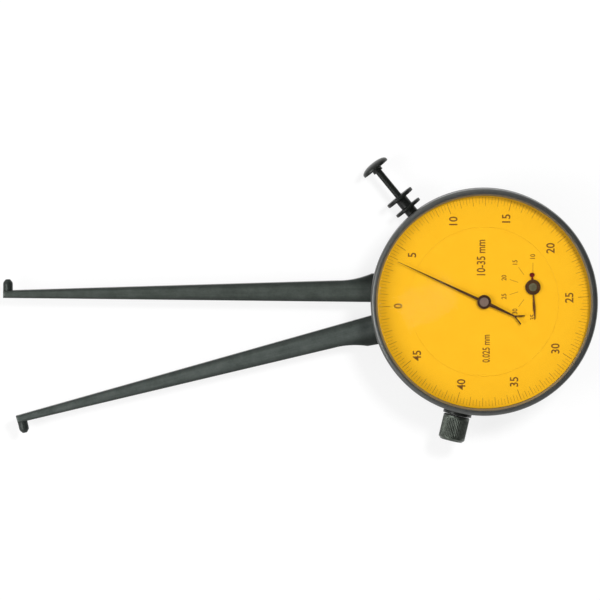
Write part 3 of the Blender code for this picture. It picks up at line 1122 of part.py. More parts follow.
def make_knob(axis):
    bush_axis = joint_empty("knob_bush_axis", (0, 0, KNOB_AXIS_Z),
                            polar(1, KNOB_DIRECTION_DEG))
    bore = KNOB_SHAFT_RADIUS + FIT_GAP
    flange_low = BEZEL_RADIUS + FIT_GAP
    flange_high = flange_low + KNOB_FLANGE_THICKNESS
    bush_low = CROWN_RADIUS + CROWN_FACE / 2 + RUN_GAP
    turned("knob_bush", [
        (KNOB_FLANGE_RADIUS, flange_high), (KNOB_FLANGE_RADIUS, flange_low),
        (KNOB_BUSH_RADIUS, flange_low), (KNOB_BUSH_RADIUS, bush_low), (bore, bush_low),
        (bore, flange_high)], "black_steel", bush_axis, ring=True, steps=CURVE_STEPS)
    socket = KNOB_LOW + KNOB_LENGTH * KNOB_SOCKET_SHARE
    turned("zero_knob", [
        (0, KNOB_REACH), (KNOB_RADIUS - KNOB_CHAMFER, KNOB_REACH),
        (KNOB_RADIUS, KNOB_REACH - KNOB_CHAMFER), (KNOB_RADIUS, KNOB_LOW), (bore, KNOB_LOW),
        (bore, socket), (0, socket)], "black_steel", axis, steps=KNOB_STEPS)
    shaft_low = CROWN_RADIUS - CROWN_FACE / 2 - SEAT_GAP
    turned("knob_shaft", [
        (0, socket - FIT_GAP), (KNOB_SHAFT_RADIUS, socket - FIT_GAP),
        (KNOB_SHAFT_RADIUS, shaft_low), (0, shaft_low)], "bright_steel", axis, steps=12)
    up_deg = direction_of_up(axis)
    pinion = gear_outline(KNOB_PINION_TEETH, CROWN_MODULE, up_deg + 180 / KNOB_PINION_TEETH,
                          **KNOB_TOOTH_SHARES)
    plate("knob_pinion", pinion, CROWN_RADIUS - CROWN_FACE / 2, CROWN_FACE, "bright_steel",
          [circle((0, 0, 0), bore)], axis)


def direction_of_up(axis):
    """Direction of world +Z in the plane across a turned axis."""
    local = axis.rotation_quaternion.inverted() @ Vector((0, 0, 1))
    return direction(local)


def main():
    make_case()
    make_back()
    make_window()
    make_base_plate()
    make_rear_bridge()
    make_dial()
    leg_axis = joint_empty("leg_axis", PIVOT)
    idler_axis = joint_empty("idler_axis", IDLER)
    center_axis = joint_empty("center_axis", (0, 0, 0))
    counter_axis = joint_empty("counter_axis", COUNTER)
    ring_axis = joint_empty("ring_axis", (0, 0, 0))
    button_axis = joint_empty("button_axis", (0, 0, LEG_MID), BUTTON_OUTWARD)
    knob_axis = joint_empty("knob_axis", (0, 0, KNOB_AXIS_Z), polar(1, KNOB_DIRECTION_DEG))
    make_fixed_leg()
    make_moving_leg(leg_axis)
    make_sector(leg_axis)
    make_leg_spring(leg_axis)
    make_idler(idler_axis)
    make_hairspring()
    make_center(center_axis)
    make_counter(counter_axis)
    make_scale_ring(ring_axis)
    make_crown(ring_axis)
    make_main_hand(center_axis)
    make_counter_hand(counter_axis)
    make_button(button_axis)
    make_knob(knob_axis)


main()
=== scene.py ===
import json
import math

import bmesh
import bpy
import numpy as np
from mathutils import Matrix, Vector
from mathutils.geometry import tessellate_polygon


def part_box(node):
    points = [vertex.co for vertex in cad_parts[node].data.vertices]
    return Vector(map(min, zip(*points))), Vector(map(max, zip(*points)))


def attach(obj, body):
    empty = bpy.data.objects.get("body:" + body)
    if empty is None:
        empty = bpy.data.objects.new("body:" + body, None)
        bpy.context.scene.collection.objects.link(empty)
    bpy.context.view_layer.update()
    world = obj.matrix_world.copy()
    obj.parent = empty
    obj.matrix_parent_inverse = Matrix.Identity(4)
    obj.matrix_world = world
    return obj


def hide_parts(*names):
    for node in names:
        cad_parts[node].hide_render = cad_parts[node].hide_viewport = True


# Inside dial caliper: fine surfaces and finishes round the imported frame.
# Lengths in the dictionaries are millimetres; mm turns them into metres.
mm = 0.001
joinDistance = 1e-7  # points nearer than this are one point
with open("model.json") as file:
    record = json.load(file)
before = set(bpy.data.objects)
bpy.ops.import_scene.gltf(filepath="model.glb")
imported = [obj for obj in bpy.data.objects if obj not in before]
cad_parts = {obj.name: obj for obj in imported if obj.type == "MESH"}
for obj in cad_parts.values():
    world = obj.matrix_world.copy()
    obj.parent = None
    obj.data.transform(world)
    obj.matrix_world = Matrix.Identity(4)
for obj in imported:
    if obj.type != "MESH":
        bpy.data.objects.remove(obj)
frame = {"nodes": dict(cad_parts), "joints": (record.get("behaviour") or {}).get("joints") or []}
nodes = frame["nodes"]
joints = {joint["name"]: joint for joint in frame["joints"]}
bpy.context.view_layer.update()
print("frame loaded:", len(nodes), "nodes")


# Places read from the frame

def low(node):
    return np.array(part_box(node)[0]) / mm


def high(node):
    return np.array(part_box(node)[1]) / mm


def middle(node):
    return (low(node) + high(node)) / 2


def jointPlace(name):
    return np.array(joints[name]["pos_m"]) / mm


def jointAxis(name):
    return np.array(joints[name]["axis"], float)


caseRadius = high("case_body")[0]
bezelRadius = high("bezel")[0]
legLow, legTop = low("fixed_leg")[2], high("fixed_leg")[2]
dialLow, dialTop = low("inner_dial")[2], high("inner_dial")[2]
pivot = jointPlace("leg_close") * (1, 1, 0)
idler = jointPlace("idler_turn") * (1, 1, 0)
counter = middle("counter_hub") * (1, 1, 0)
buttonOut = -jointAxis("button_press")
buttonReach = float(max(buttonOut @ corner for corner in np.array(
    [v.co for v in nodes["button_cap"].data.vertices])) / mm)
rodInner = float(min(buttonOut @ corner for corner in np.array(
    [v.co for v in nodes["push_rod"].data.vertices])) / mm)
knobOut = jointAxis("knob_turn")
if knobOut @ middle("zero_knob") < 0:
    knobOut = -knobOut


# Grids and meshes

def gridFaces(rows, columns, closeRows=False):
    # Quad (i, j) joins the points (i, j), (i, j+1), (i+1, j+1) and (i+1, j); columns run round.
    i, j = np.meshgrid(np.arange(rows if closeRows else rows - 1), np.arange(columns), indexing="ij")
    nextI, nextJ = (i + 1) % rows, (j + 1) % columns
    quads = np.stack([i * columns + j, i * columns + nextJ, nextI * columns + nextJ,
                      nextI * columns + j], axis=-1)
    return quads.reshape(-1, 4)


def linked(name, data):
    thing = bpy.data.objects.new(name, data)
    bpy.context.scene.collection.objects.link(thing)
    return thing


def closedMesh(name, points, faces):
    # Points are in millimetres; equal points are joined and all faces turned outward.
    mesh = bpy.data.meshes.new(name)
    mesh.from_pydata((np.asarray(points, float).reshape(-1, 3) * mm).tolist(), [],
                     [list(face) for face in faces])
    sculpt = bmesh.new()
    sculpt.from_mesh(mesh)
    bmesh.ops.remove_doubles(sculpt, verts=sculpt.verts, dist=joinDistance)
    bmesh.ops.recalc_face_normals(sculpt, faces=sculpt.faces)
    if sculpt.calc_volume(signed=True) < 0:
        bmesh.ops.reverse_faces(sculpt, faces=sculpt.faces)
    sculpt.to_mesh(mesh)
    sculpt.free()
    return mesh


def addPiece(name, points, faces, body, material, replaces=(), sharpDeg=40, weighted=True):
    piece = linked(name, closedMesh(name, points, faces))
    return finishPiece(piece, body, material, replaces, sharpDeg, weighted)


def finishPiece(piece, body, material, replaces=(), sharpDeg=40, weighted=True):
    mesh = piece.data
    mesh.shade_smooth()
    mesh.set_sharp_from_angle(angle=math.radians(sharpDeg))
    mesh.materials.clear()
    mesh.materials.append(material)
    if weighted:
        even = piece.modifiers.new("even_normals", "WEIGHTED_NORMAL")
        even.keep_sharp = True
    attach(piece, body)
    if replaces:
        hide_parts(*replaces)
    return piece


def roundedProfile(corners, closed=False, bend=6):
    # A corner (radius, height, fillet) becomes the curve
    # (1-t)^2 before + 2t(1-t) corner + t^2 after, where before and after lie a fillet away.
    corners = np.array(corners, float)
    t = np.linspace(0, 1, bend + 1)[:, None]
    count = len(corners)
    line = []
    for i in range(count):
        spot, fillet = corners[i, :2], corners[i, 2]
        if fillet == 0 or (not closed and i in (0, count - 1)):
            line.append(spot[None, :])
            continue
        back = corners[i - 1, :2] - spot
        ahead = corners[(i + 1) % count, :2] - spot
        before = spot + back / np.linalg.norm(back) * fillet
        after = spot + ahead / np.linalg.norm(ahead) * fillet
        line.append((1 - t) ** 2 * before + 2 * t * (1 - t) * spot + t ** 2 * after)
    return np.vstack(line)


def turnedPoints(profile, steps, place=(0, 0, 0), out=(0, 0, 1), ridge=None):
    # point(k, a) = place + out * height_k + radius * (side cos a + other sin a),
    # where the radius is radius_k less the ridge function of (height_k, a).
    out = np.array(out, float) / np.linalg.norm(out)
    side = np.cross(out, (0, 0, 1)) if abs(out[2]) < 0.9 else np.array((1.0, 0, 0))
    side = side / np.linalg.norm(side)
    other = np.cross(out, side)
    angle = np.arange(steps) * 2 * math.pi / steps
    radius = np.repeat(profile[:, :1], steps, axis=1)
    if ridge is not None:
        radius = radius - ridge(profile[:, 1:2], angle[None, :])
    ring = np.cos(angle)[None, :, None] * side + np.sin(angle)[None, :, None] * other
    return np.array(place) + profile[:, 1][:, None, None] * out + radius[:, :, None] * ring


def turned(name, corners, steps, body, material, replaces=(), place=(0, 0, 0),
           out=(0, 0, 1), closed=False, ridge=None, bend=6, sharpDeg=40):
    profile = roundedProfile(corners, closed, bend)
    points = turnedPoints(profile, steps, place, out, ridge)
    faces = gridFaces(len(profile), steps, closed)
    return addPiece(name, points, faces, body, material, replaces, sharpDeg)


def polar(center, radius, degrees):
    # center + radius * (cos a, sin a).
    a = math.radians(degrees)
    return np.array(center)[:2] + radius * np.array((math.cos(a), math.sin(a)))


def circlePoints(center, radius, steps):
    # center + radius * (cos a, sin a) at equal steps of a.
    angle = np.arange(steps) * 2 * math.pi / steps
    return np.array(center)[:2] + radius * np.stack([np.cos(angle), np.sin(angle)], axis=1)


def arcPoints(center, radius, startDeg, endDeg, steps):
    # center + radius * (cos a, sin a) with a running evenly from start to end.
    angle = np.radians(np.linspace(startDeg, endDeg, steps + 1))
    return np.array(center)[:2] + radius * np.stack([np.cos(angle), np.sin(angle)], axis=1)


def drawnIn(outline, inset):
    # Each point moves along the bisector of its two edges, by inset / cos(half the turn).
    back = outline - np.roll(outline, 1, axis=0)
    ahead = np.roll(outline, -1, axis=0) - outline
    back = back / np.linalg.norm(back, axis=1)[:, None]
    ahead = ahead / np.linalg.norm(ahead, axis=1)[:, None]
    inward = np.stack([-(back + ahead)[:, 1], (back + ahead)[:, 0]], axis=1)
    inward = inward / np.linalg.norm(inward, axis=1)[:, None]
    cosHalf = np.clip((inward * np.stack([-ahead[:, 1], ahead[:, 0]], axis=1)).sum(1), 0.5, 1)
    return outline + inward * (np.asarray(inset) / cosHalf)[:, None]


def edgedLoops(outline, bottom, top, edge, bend, inside):
    # Ring k of the wall lies at height h_k and is drawn in by edge * (1 - sin t) while
    # the height leaves the face by edge * (1 - cos t), t from 0 to a right angle at each face.
    edge = np.broadcast_to(np.asarray(edge, float), (len(outline),))
    t = np.linspace(0, math.pi / 2, bend + 1)
    rings = []
    for share, lift, start, sign in ((1 - np.sin(t), 1 - np.cos(t), bottom, 1),
                                     ((1 - np.sin(t))[::-1], (1 - np.cos(t))[::-1], top, -1)):
        for inset, rise in zip(share, lift):
            flat = drawnIn(outline, edge * inset * (-1 if inside else 1))
            height = start + sign * edge * rise
            rings.append(np.column_stack([flat, height]))
    return np.array(rings)


def edgedPlate(name, outline, bottom, top, edge, body, material, replaces=(), holes=(),
               holeEdge=0.0, bend=4, sharpDeg=40):
    # Walls from edgedLoops round the outline and each hole, and two flat faces between them.
    points, faces, caps, start = [], [], [], 0
    for number, loop in enumerate([outline, *holes]):
        rings = edgedLoops(loop, bottom, top, edge if number == 0 else holeEdge, bend, number > 0)
        rows, columns = rings.shape[:2]
        points.append(rings.reshape(-1, 3))
        faces += (gridFaces(rows, columns) + start).tolist()
        caps.append((start, start + (rows - 1) * columns, columns))
        start += rows * columns
    points = np.vstack(points)
    for which in (0, 1):
        loops = [[Vector(points[cap[which] + i]) for i in range(cap[2])] for cap in caps]
        index = np.concatenate([cap[which] + np.arange(cap[2]) for cap in caps])
        if len(loops) == 1:
            faces.append(index.tolist())
        else:
            faces += index[np.array(tessellate_polygon(loops))].tolist()
    return addPiece(name, points, faces, body, material, replaces, sharpDeg)


def rodCutter(radius, start, end, steps=48, place=(0, 0, 0), out=(0, 0, 1)):
    profile = np.array([(0, end), (radius, end), (radius, start), (0, start)], float)
    points = turnedPoints(profile, steps, place, out)
    return linked("cutter", closedMesh("cutter", points, gridFaces(len(profile), steps)))


def boxCutter(lowest, highest):
    corner = np.array([(x, y, z) for x in (0, 1) for y in (0, 1) for z in (0, 1)])
    faces = [(0, 1, 3, 2), (4, 6, 7, 5), (0, 4, 5, 1), (2, 3, 7, 6), (0, 2, 6, 4), (1, 5, 7, 3)]
    points = np.array(lowest) + corner * (np.array(highest) - lowest)
    return linked("cutter", closedMesh("cutter", points, faces))


def applyCuts(piece, cuts):
    # Joins or cuts with each helper shape in turn, then keeps the result as the piece's mesh.
    for operation, cutter in cuts:
        change = piece.modifiers.new(operation.lower(), "BOOLEAN")
        change.operation, change.solver, change.object = operation, "EXACT", cutter
    depsgraph = bpy.context.evaluated_depsgraph_get()
    mesh = bpy.data.meshes.new_from_object(piece.evaluated_get(depsgraph))
    piece.modifiers.clear()
    piece.data = mesh
    for _, cutter in cuts:
        bpy.data.objects.remove(cutter, do_unlink=True)


# Node helpers

def addNode(tree, kind, values=None, **settings):
    node = tree.nodes.new(kind)
    for key, value in settings.items():
        setattr(node, key, value)
    for key, value in (values or {}).items():
        node.inputs[key].default_value = value
    return node


def wire(tree, *wires):
    # Each wire is (node, output, node, input).
    for start, output, end, entry in wires:
        tree.links.new(start.outputs[output], end.inputs[entry])


def newGroup(name, inputs, outputs):
    group = bpy.data.node_groups.new(name, "ShaderNodeTree")
    for label, kind, value in inputs:
        socket = group.interface.new_socket(name=label, in_out="INPUT", socket_type=kind)
        if value is not None:
            socket.default_value = value
    for label, kind in outputs:
        group.interface.new_socket(name=label, in_out="OUTPUT", socket_type=kind)
    return group, group.nodes.new("NodeGroupInput"), group.nodes.new("NodeGroupOutput")


def makeMottleGroup():
    # Slow and fine noise mixed into one tone between 0 and 1.
    tree, enter, leave = newGroup("mottle", [("Vector", "NodeSocketVector", None),
                                             ("Size", "NodeSocketFloat", 300.0)],
                                  [("Tone", "NodeSocketFloat")])
    slow = addNode(tree, "ShaderNodeTexNoise", {"Detail": 3.0, "Roughness": 0.55})
    fine = addNode(tree, "ShaderNodeTexNoise", {"Detail": 4.0, "Roughness": 0.6})
    faster = addNode(tree, "ShaderNodeMath", {1: 7.0}, operation="MULTIPLY")
    blend = addNode(tree, "ShaderNodeMix", {"Factor": 0.35}, data_type="FLOAT")
    spread = addNode(tree, "ShaderNodeMapRange", {"From Min": 0.3, "From Max": 0.7})
    wire(tree, (enter, "Vector", slow, "Vector"), (enter, "Vector", fine, "Vector"),
         (enter, "Size", slow, "Scale"), (enter, "Size", faster, 0), (faster, 0, fine, "Scale"),
         (slow, "Fac", blend, "A"), (fine, "Fac", blend, "B"), (blend, "Result", spread, "Value"),
         (spread, "Result", leave, "Tone"))
    return tree


def makeGrainGroup():
    # Noise drawn out along one direction, as a mask and as a normal.
    tree, enter, leave = newGroup("grain", [("Vector", "NodeSocketVector", None),
                                            ("Stretch", "NodeSocketVector", (1.0, 1.0, 1.0)),
                                            ("Depth", "NodeSocketFloat", 0.2)],
                                  [("Mask", "NodeSocketFloat"), ("Normal", "NodeSocketVector")])
    stretch = addNode(tree, "ShaderNodeVectorMath", operation="MULTIPLY")
    noise = addNode(tree, "ShaderNodeTexNoise", {"Scale": 1.0, "Detail": 4.0, "Roughness": 0.65})
    bump = addNode(tree, "ShaderNodeBump", {"Distance": 0.00002})
    wire(tree, (enter, "Vector", stretch, 0), (enter, "Stretch", stretch, 1),
         (stretch, 0, noise, "Vector"), (noise, "Fac", bump, "Height"),
         (enter, "Depth", bump, "Strength"), (noise, "Fac", leave, "Mask"),
         (bump, "Normal", leave, "Normal"))
    return tree


def makeDistanceGroup():
    # 0 within the near distance of an upright line through the centre, 1 past the far one.
    tree, enter, leave = newGroup("distance_mask", [("Vector", "NodeSocketVector", None),
                                                    ("Centre", "NodeSocketVector", (0, 0, 0)),
                                                    ("Near", "NodeSocketFloat", 0.001),
                                                    ("Far", "NodeSocketFloat", 0.002)],
                                  [("Mask", "NodeSocketFloat")])
    flat = addNode(tree, "ShaderNodeVectorMath", {1: (1, 1, 0)}, operation="MULTIPLY")
    away = addNode(tree, "ShaderNodeVectorMath", operation="DISTANCE")
    spread = addNode(tree, "ShaderNodeMapRange")
    wire(tree, (enter, "Vector", flat, 0), (flat, 0, away, 0), (enter, "Centre", away, 1),
         (away, "Value", spread, "Value"), (enter, "Near", spread, "From Min"),
         (enter, "Far", spread, "From Max"), (spread, "Result", leave, "Mask"))
    return tree


def makeBandGroup():
    # Along a tapering bar: |across| / (half + growth * along), drawn from 0 in the middle
    # to 0.85 at both edges.
    tree, enter, leave = newGroup("band_mask", [("Vector", "NodeSocketVector", None),
                                                ("Start", "NodeSocketVector", (0, 0, 0)),
                                                ("Turn", "NodeSocketVector", (0, 0, 0)),
                                                ("Half", "NodeSocketFloat", 0.001),
                                                ("Growth", "NodeSocketFloat", 0.0)],
                                  [("Mask", "NodeSocketFloat")])
    moved = addNode(tree, "ShaderNodeVectorMath", operation="SUBTRACT")
    turn = addNode(tree, "ShaderNodeMapping")
    split = addNode(tree, "ShaderNodeSeparateXYZ")
    across = addNode(tree, "ShaderNodeMath", operation="ABSOLUTE")
    width = addNode(tree, "ShaderNodeMath", operation="MULTIPLY_ADD")
    ratio = addNode(tree, "ShaderNodeMath", operation="DIVIDE")
    spread = addNode(tree, "ShaderNodeMapRange", {"From Min": 0.4, "From Max": 0.95,
                                                  "To Max": 0.85})
    wire(tree, (enter, "Vector", moved, 0), (enter, "Start", moved, 1), (moved, 0, turn, "Vector"),
         (enter, "Turn", turn, "Rotation"), (turn, "Vector", split, 0), (split, "Y", across, 0),
         (split, "X", width, 0), (enter, "Growth", width, 1), (enter, "Half", width, 2),
         (across, 0, ratio, 0), (width, 0, ratio, 1), (ratio, 0, spread, "Value"),
         (spread, "Result", leave, "Mask"))
    return tree


mottleGroup = makeMottleGroup()
grainGroup = makeGrainGroup()
distanceGroup = makeDistanceGroup()
bandGroup = makeBandGroup()


def startMaterial(name):
    material = bpy.data.materials.new(name)
    material.use_nodes = True
    tree = material.node_tree
    shader = tree.nodes["Principled BSDF"]
    coordinates = addNode(tree, "ShaderNodeTexCoord")
    return material, tree, shader, coordinates


def metalFinish(name, dark, light, metallic, rough, stretch=(2500, 2500, 2500), depth=0.25,
                turnDeg=0.0, size=300.0, specular=0.5):
    # Two tones mixed by the mottle, roughness from the same tone, bump from the grain.
    material, tree, shader, where = startMaterial(name)
    shader.inputs["Metallic"].default_value = metallic
    shader.inputs["Specular IOR Level"].default_value = specular
    turn = addNode(tree, "ShaderNodeMapping")
    turn.inputs["Rotation"].default_value = (0, 0, math.radians(turnDeg))
    mottle = addNode(tree, "ShaderNodeGroup", node_tree=mottleGroup)
    mottle.inputs["Size"].default_value = size
    grain = addNode(tree, "ShaderNodeGroup", node_tree=grainGroup)
    grain.inputs["Stretch"].default_value = stretch
    grain.inputs["Depth"].default_value = depth
    both = addNode(tree, "ShaderNodeMix", {"Factor": 0.5}, data_type="FLOAT")
    colour = addNode(tree, "ShaderNodeMix", data_type="RGBA")
    colour.inputs["A"].default_value = (*dark, 1)
    colour.inputs["B"].default_value = (*light, 1)
    roughness = addNode(tree, "ShaderNodeMapRange", {"To Min": rough[0], "To Max": rough[1]})
    wire(tree, (where, "Object", turn, "Vector"), (where, "Object", mottle, "Vector"),
         (turn, "Vector", grain, "Vector"), (mottle, "Tone", both, "A"),
         (grain, "Mask", both, "B"), (both, "Result", colour, "Factor"),
         (both, "Result", roughness, "Value"), (colour, "Result", shader, "Base Color"),
         (roughness, "Result", shader, "Roughness"), (grain, "Normal", shader, "Normal"))
    return material


def paintOver(material, paint, maskGroup, values):
    # The paint's colour takes the place of the finish's own colour where the mask is 1.
    tree = material.node_tree
    shader = tree.nodes["Principled BSDF"]
    under = shader.inputs["Base Color"].links[0].from_socket
    where = addNode(tree, "ShaderNodeTexCoord")
    mask = addNode(tree, "ShaderNodeGroup", node_tree=maskGroup)
    for label, value in values.items():
        mask.inputs[label].default_value = value
    cover = addNode(tree, "ShaderNodeMix", data_type="RGBA")
    cover.inputs["B"].default_value = (*paint, 1)
    wire(tree, (where, "Object", mask, "Vector"))
    tree.links.new(under, cover.inputs["A"])
    wire(tree, (mask, "Mask", cover, "Factor"), (cover, "Result", shader, "Base Color"))


glassLook = {"tint": (0.99, 0.99, 0.985), "under": (0.02, 0.02, 0.02), "ior": 1.45,
             "rough": (0.03, 0.08), "mottleSize": 150}


def glassFinish(name):
    # Clear pane: light goes straight through, and the faces that look outward mirror a
    # Fresnel share of it.
    s = glassLook
    material, tree, shader, where = startMaterial(name)
    shader.inputs["Base Color"].default_value = (*s["under"], 1)
    shader.inputs["Specular IOR Level"].default_value = 1.0
    clear = addNode(tree, "ShaderNodeBsdfTransparent", {"Color": (*s["tint"], 1)})
    mirror = addNode(tree, "ShaderNodeFresnel", {"IOR": s["ior"]})
    side = addNode(tree, "ShaderNodeNewGeometry")
    front = addNode(tree, "ShaderNodeMath", {0: 1.0}, operation="SUBTRACT")
    share = addNode(tree, "ShaderNodeMath", operation="MULTIPLY")
    mix = addNode(tree, "ShaderNodeMixShader")
    mottle = addNode(tree, "ShaderNodeGroup", node_tree=mottleGroup)
    mottle.inputs["Size"].default_value = s["mottleSize"]
    roughness = addNode(tree, "ShaderNodeMapRange", {"To Min": s["rough"][0],
                                                     "To Max": s["rough"][1]})
    wire(tree, (where, "Object", mottle, "Vector"), (mottle, "Tone", roughness, "Value"),
         (roughness, "Result", shader, "Roughness"), (side, "Backfacing", front, 1),
         (mirror, "Fac", share, 0), (front, 0, share, 1), (share, 0, mix, "Fac"),
         (clear, "BSDF", mix, 1), (shader, "BSDF", mix, 2),
         (mix, "Shader", tree.nodes["Material Output"], "Surface"))
    return material


legSlope = math.degrees(math.atan2(middle("moving_contact")[1] - pivot[1],
                                   middle("moving_contact")[0] - pivot[0]))
finishes = {
    "blackCase": metalFinish("black_case", (0.020, 0.024, 0.023), (0.042, 0.048, 0.046), 0.5,
                             (0.36, 0.52), (3000, 3000, 600)),
    "blackBezel": metalFinish("black_bezel", (0.085, 0.088, 0.085), (0.130, 0.134, 0.128), 0.8,
                              (0.30, 0.42), (1200, 1200, 1200), 0.15),
    "blackLeg": metalFinish("black_leg", (0.026, 0.034, 0.029), (0.104, 0.122, 0.108), 0.5,
                            (0.34, 0.50), (120, 2400, 2400)),
    # Painted light: the turning leg takes the fixed leg's blackened steel about a quarter lighter, a
    # lit copy of the same finish; its grain also runs along the turned leg.
    "blackTurningLeg": metalFinish("black_turning_leg_lit", (0.032, 0.042, 0.038),
                                   (0.132, 0.152, 0.140), 0.5, (0.34, 0.50),
                                   (120, 2400, 2400), turnDeg=-legSlope),
    "blackSmall": metalFinish("black_small", (0.006, 0.007, 0.006), (0.017, 0.020, 0.017), 0.4,
                              (0.26, 0.40), (2500, 2500, 2500)),
    "blackRod": metalFinish("black_rod", (0.003, 0.004, 0.003), (0.010, 0.012, 0.010), 0.2,
                            (0.35, 0.50), (2500, 2500, 2500), specular=0.35),
    "blackKnob": metalFinish("black_knob", (0.020, 0.025, 0.020), (0.120, 0.136, 0.116), 0.8,
                             (0.24, 0.38), (1800, 1800, 1800), size=900.0),
    "brightSteel": metalFinish("bright_steel", (0.42, 0.42, 0.43), (0.62, 0.62, 0.63), 1.0,
                               (0.22, 0.38)),
    "hub": metalFinish("hub_steel", (0.22, 0.15, 0.12), (0.33, 0.23, 0.19), 0.5, (0.32, 0.48)),
    "hubCap": metalFinish("hub_cap", (0.10, 0.095, 0.05), (0.20, 0.18, 0.10), 0.5, (0.3, 0.45)),
    "brass": metalFinish("brass", (0.56, 0.40, 0.15), (0.76, 0.58, 0.26), 1.0, (0.28, 0.42)),
    "yellow": metalFinish("yellow_dial", (0.90, 0.452, 0.008), (0.95, 0.51, 0.014), 0.0,
                          (0.5, 0.65), (1500, 1500, 1500), 0.05, specular=0.2),
    "hand": metalFinish("hand_brown_black", (0.040, 0.016, 0.005), (0.080, 0.034, 0.009), 0.0,
                        (0.35, 0.50), specular=0.25),
    "counterHand": metalFinish("counter_hand_brown", (0.10, 0.036, 0.008),
                               (0.17, 0.062, 0.012), 0.0, (0.35, 0.50), specular=0.25),
    "print": metalFinish("print_ink", (0.150, 0.062, 0.010), (0.230, 0.095, 0.014), 0.0,
                         (0.5, 0.65), specular=0.2),
    "fineInk": metalFinish("fine_ink", (0.26, 0.105, 0.012), (0.36, 0.150, 0.016), 0.0,
                           (0.5, 0.65), specular=0.2),
    # The window ring is cream nylon painted a dark tan: its own cream darkened as painted shade
    # under the bezel lip.
    "cream": metalFinish("cream_ring_shaded", (0.19, 0.135, 0.060), (0.25, 0.180, 0.085), 0.0, (0.4, 0.55),
                         specular=0.3),
    "glass": glassFinish("window_glass"),
}
print("finishes made:", len(finishes))


# Case, bezel, window and back

caseShape = {"steps": 192, "wall": 2.1, "shoulder": 13.012, "spigotOuter": 25.2,
             "spigotInner": 24.65, "bossRadius": 1.9,
             "screwHole": 0.7, "slotBelow": 10.9, "slotAbove": 6.5, "slotSpace": 0.3,
             "guideHole": 1.5, "bushHole": 1.7, "overrun": 1.0, "bossGap": 0.2, "slotInset": 0.13}


def makeCase():
    s = caseShape
    inner = caseRadius - s["wall"]
    bottom, top = low("case_body")[2], high("case_body")[2]
    case = turned("case_shell", [
        (s["spigotOuter"], top, 0.12), (s["spigotOuter"], s["shoulder"], 0.05),
        (caseRadius, s["shoulder"], 0.25), (caseRadius, bottom, 0.35), (inner, bottom, 0.1),
        (inner, s["shoulder"], 0.05), (s["spigotInner"], s["shoulder"], 0.05),
        (s["spigotInner"], top, 0.12)], s["steps"], "root", finishes["blackCase"],
        ["case_body"], closed=True)
    case.modifiers.clear()
    seat = low("base_plate")[2] - s["bossGap"]
    cuts = []
    for number in (1, 2, 3):
        spot = middle(f"cover_screw_{number}") * (1, 1, 0)
        cuts.append(("UNION", rodCutter(s["bossRadius"], bottom, seat, 48, spot)))
    for number in (1, 2, 3):
        spot = middle(f"cover_screw_{number}") * (1, 1, 0)
        cuts.append(("DIFFERENCE", rodCutter(s["screwHole"], bottom - s["overrun"],
                                             seat + s["overrun"], 32, spot)))
    cuts.append(("DIFFERENCE", boxCutter(
        (-caseRadius - s["overrun"], -s["slotBelow"], legLow - s["slotSpace"]),
        (-math.sqrt(inner ** 2 - s["slotBelow"] ** 2) + s["slotInset"], s["slotAbove"],
         legTop + s["slotSpace"]))))
    for radius, height, out in ((s["guideHole"], (legLow + legTop) / 2, buttonOut),
                                (s["bushHole"], middle("zero_knob")[2], knobOut)):
        cuts.append(("DIFFERENCE", rodCutter(radius, inner - s["overrun"],
                                             caseRadius + s["overrun"], 32, (0, 0, height), out)))
    applyCuts(case, cuts)
    finishPiece(case, "root", finishes["blackCase"], ["case_body"], 30)


bezelShape = {"steps": 256, "skirt": 0.6, "flange": 1.1, "lip": 1.2, "outerRound": 0.95,
              "innerRound": 0.12, "edge": 0.08, "gasketWidth": 0.6, "ringFoot": 0.05,
              "ringFlat": 0.12, "ringRound": 0.03, "footRound": 0.15,
              "glassThickness": 0.8, "glassEdge": 0.2, "glassSteps": 28}


def makeWindow():
    s = bezelShape
    bottom, top = low("bezel")[2], high("bezel")[2]
    window = bezelRadius - s["lip"]
    turned("bezel_ring", [
        (bezelRadius, top, s["outerRound"]), (bezelRadius, bottom, s["footRound"]),
        (bezelRadius - s["skirt"], bottom, s["edge"]),
        (bezelRadius - s["skirt"], top - s["flange"], s["edge"]),
        (window, top - s["flange"], s["edge"]), (window, top, s["innerRound"])],
        s["steps"], "root", finishes["blackBezel"], ["bezel"], closed=True)
    # Dome of the glass: height + rise * (1 - (r / edge radius)^2), above and below alike.
    glassLow, glassTop = low("crystal")[2], high("crystal")[2]
    rim, thickness = high("crystal")[0], s["glassThickness"]
    rise = glassTop - thickness - glassLow
    domeEdge = high("crystal_gasket")[0] - s["gasketWidth"] - s["glassEdge"]
    radius = np.linspace(0, domeEdge, s["glassSteps"])
    dome = np.column_stack([radius, glassLow + rise * (1 - (radius / domeEdge) ** 2)])
    seat = glassLow + thickness
    profile = np.vstack([dome + (0, thickness), [(rim - s["glassEdge"], seat),
                                                 (rim, seat - s["glassEdge"]), (rim, glassLow)],
                         dome[::-1]])
    points = turnedPoints(profile, s["steps"])
    addPiece("window_glass", points, gridFaces(len(profile), s["steps"]), "root",
             finishes["glass"], ["crystal"])
    ringLow, ringTop = low("crystal_gasket")[2], high("crystal_gasket")[2]
    ringOuter = high("crystal_gasket")[0]
    ringInner = ringOuter - s["gasketWidth"]
    # The ring's finish is darkened as painted shade from the bezel lip above it.
    turned("window_ring", [
        (ringOuter, ringTop, s["ringRound"]), (ringOuter, ringLow, s["ringRound"]),
        (ringInner, ringLow, 0.02), (ringInner, ringLow + s["ringFoot"], 0.02),
        (ringOuter - s["ringFlat"], ringTop, s["ringRound"])],
        s["steps"], "root", finishes["cream"], ["crystal_gasket"], closed=True)


backShape = {"steps": 192, "chamfer": 0.4, "headRadius": 1.3, "headThickness": 0.8,
             "threadRadius": 0.6, "slotWidth": 0.35, "slotDepth": 0.3, "clearance": 0.1,
             "grooveDepth": 0.12, "grooves": (19.0, 18.0), "grooveWidth": 0.5, "overrun": 1.0,
             "screwSteps": 48, "holeSteps": 32}


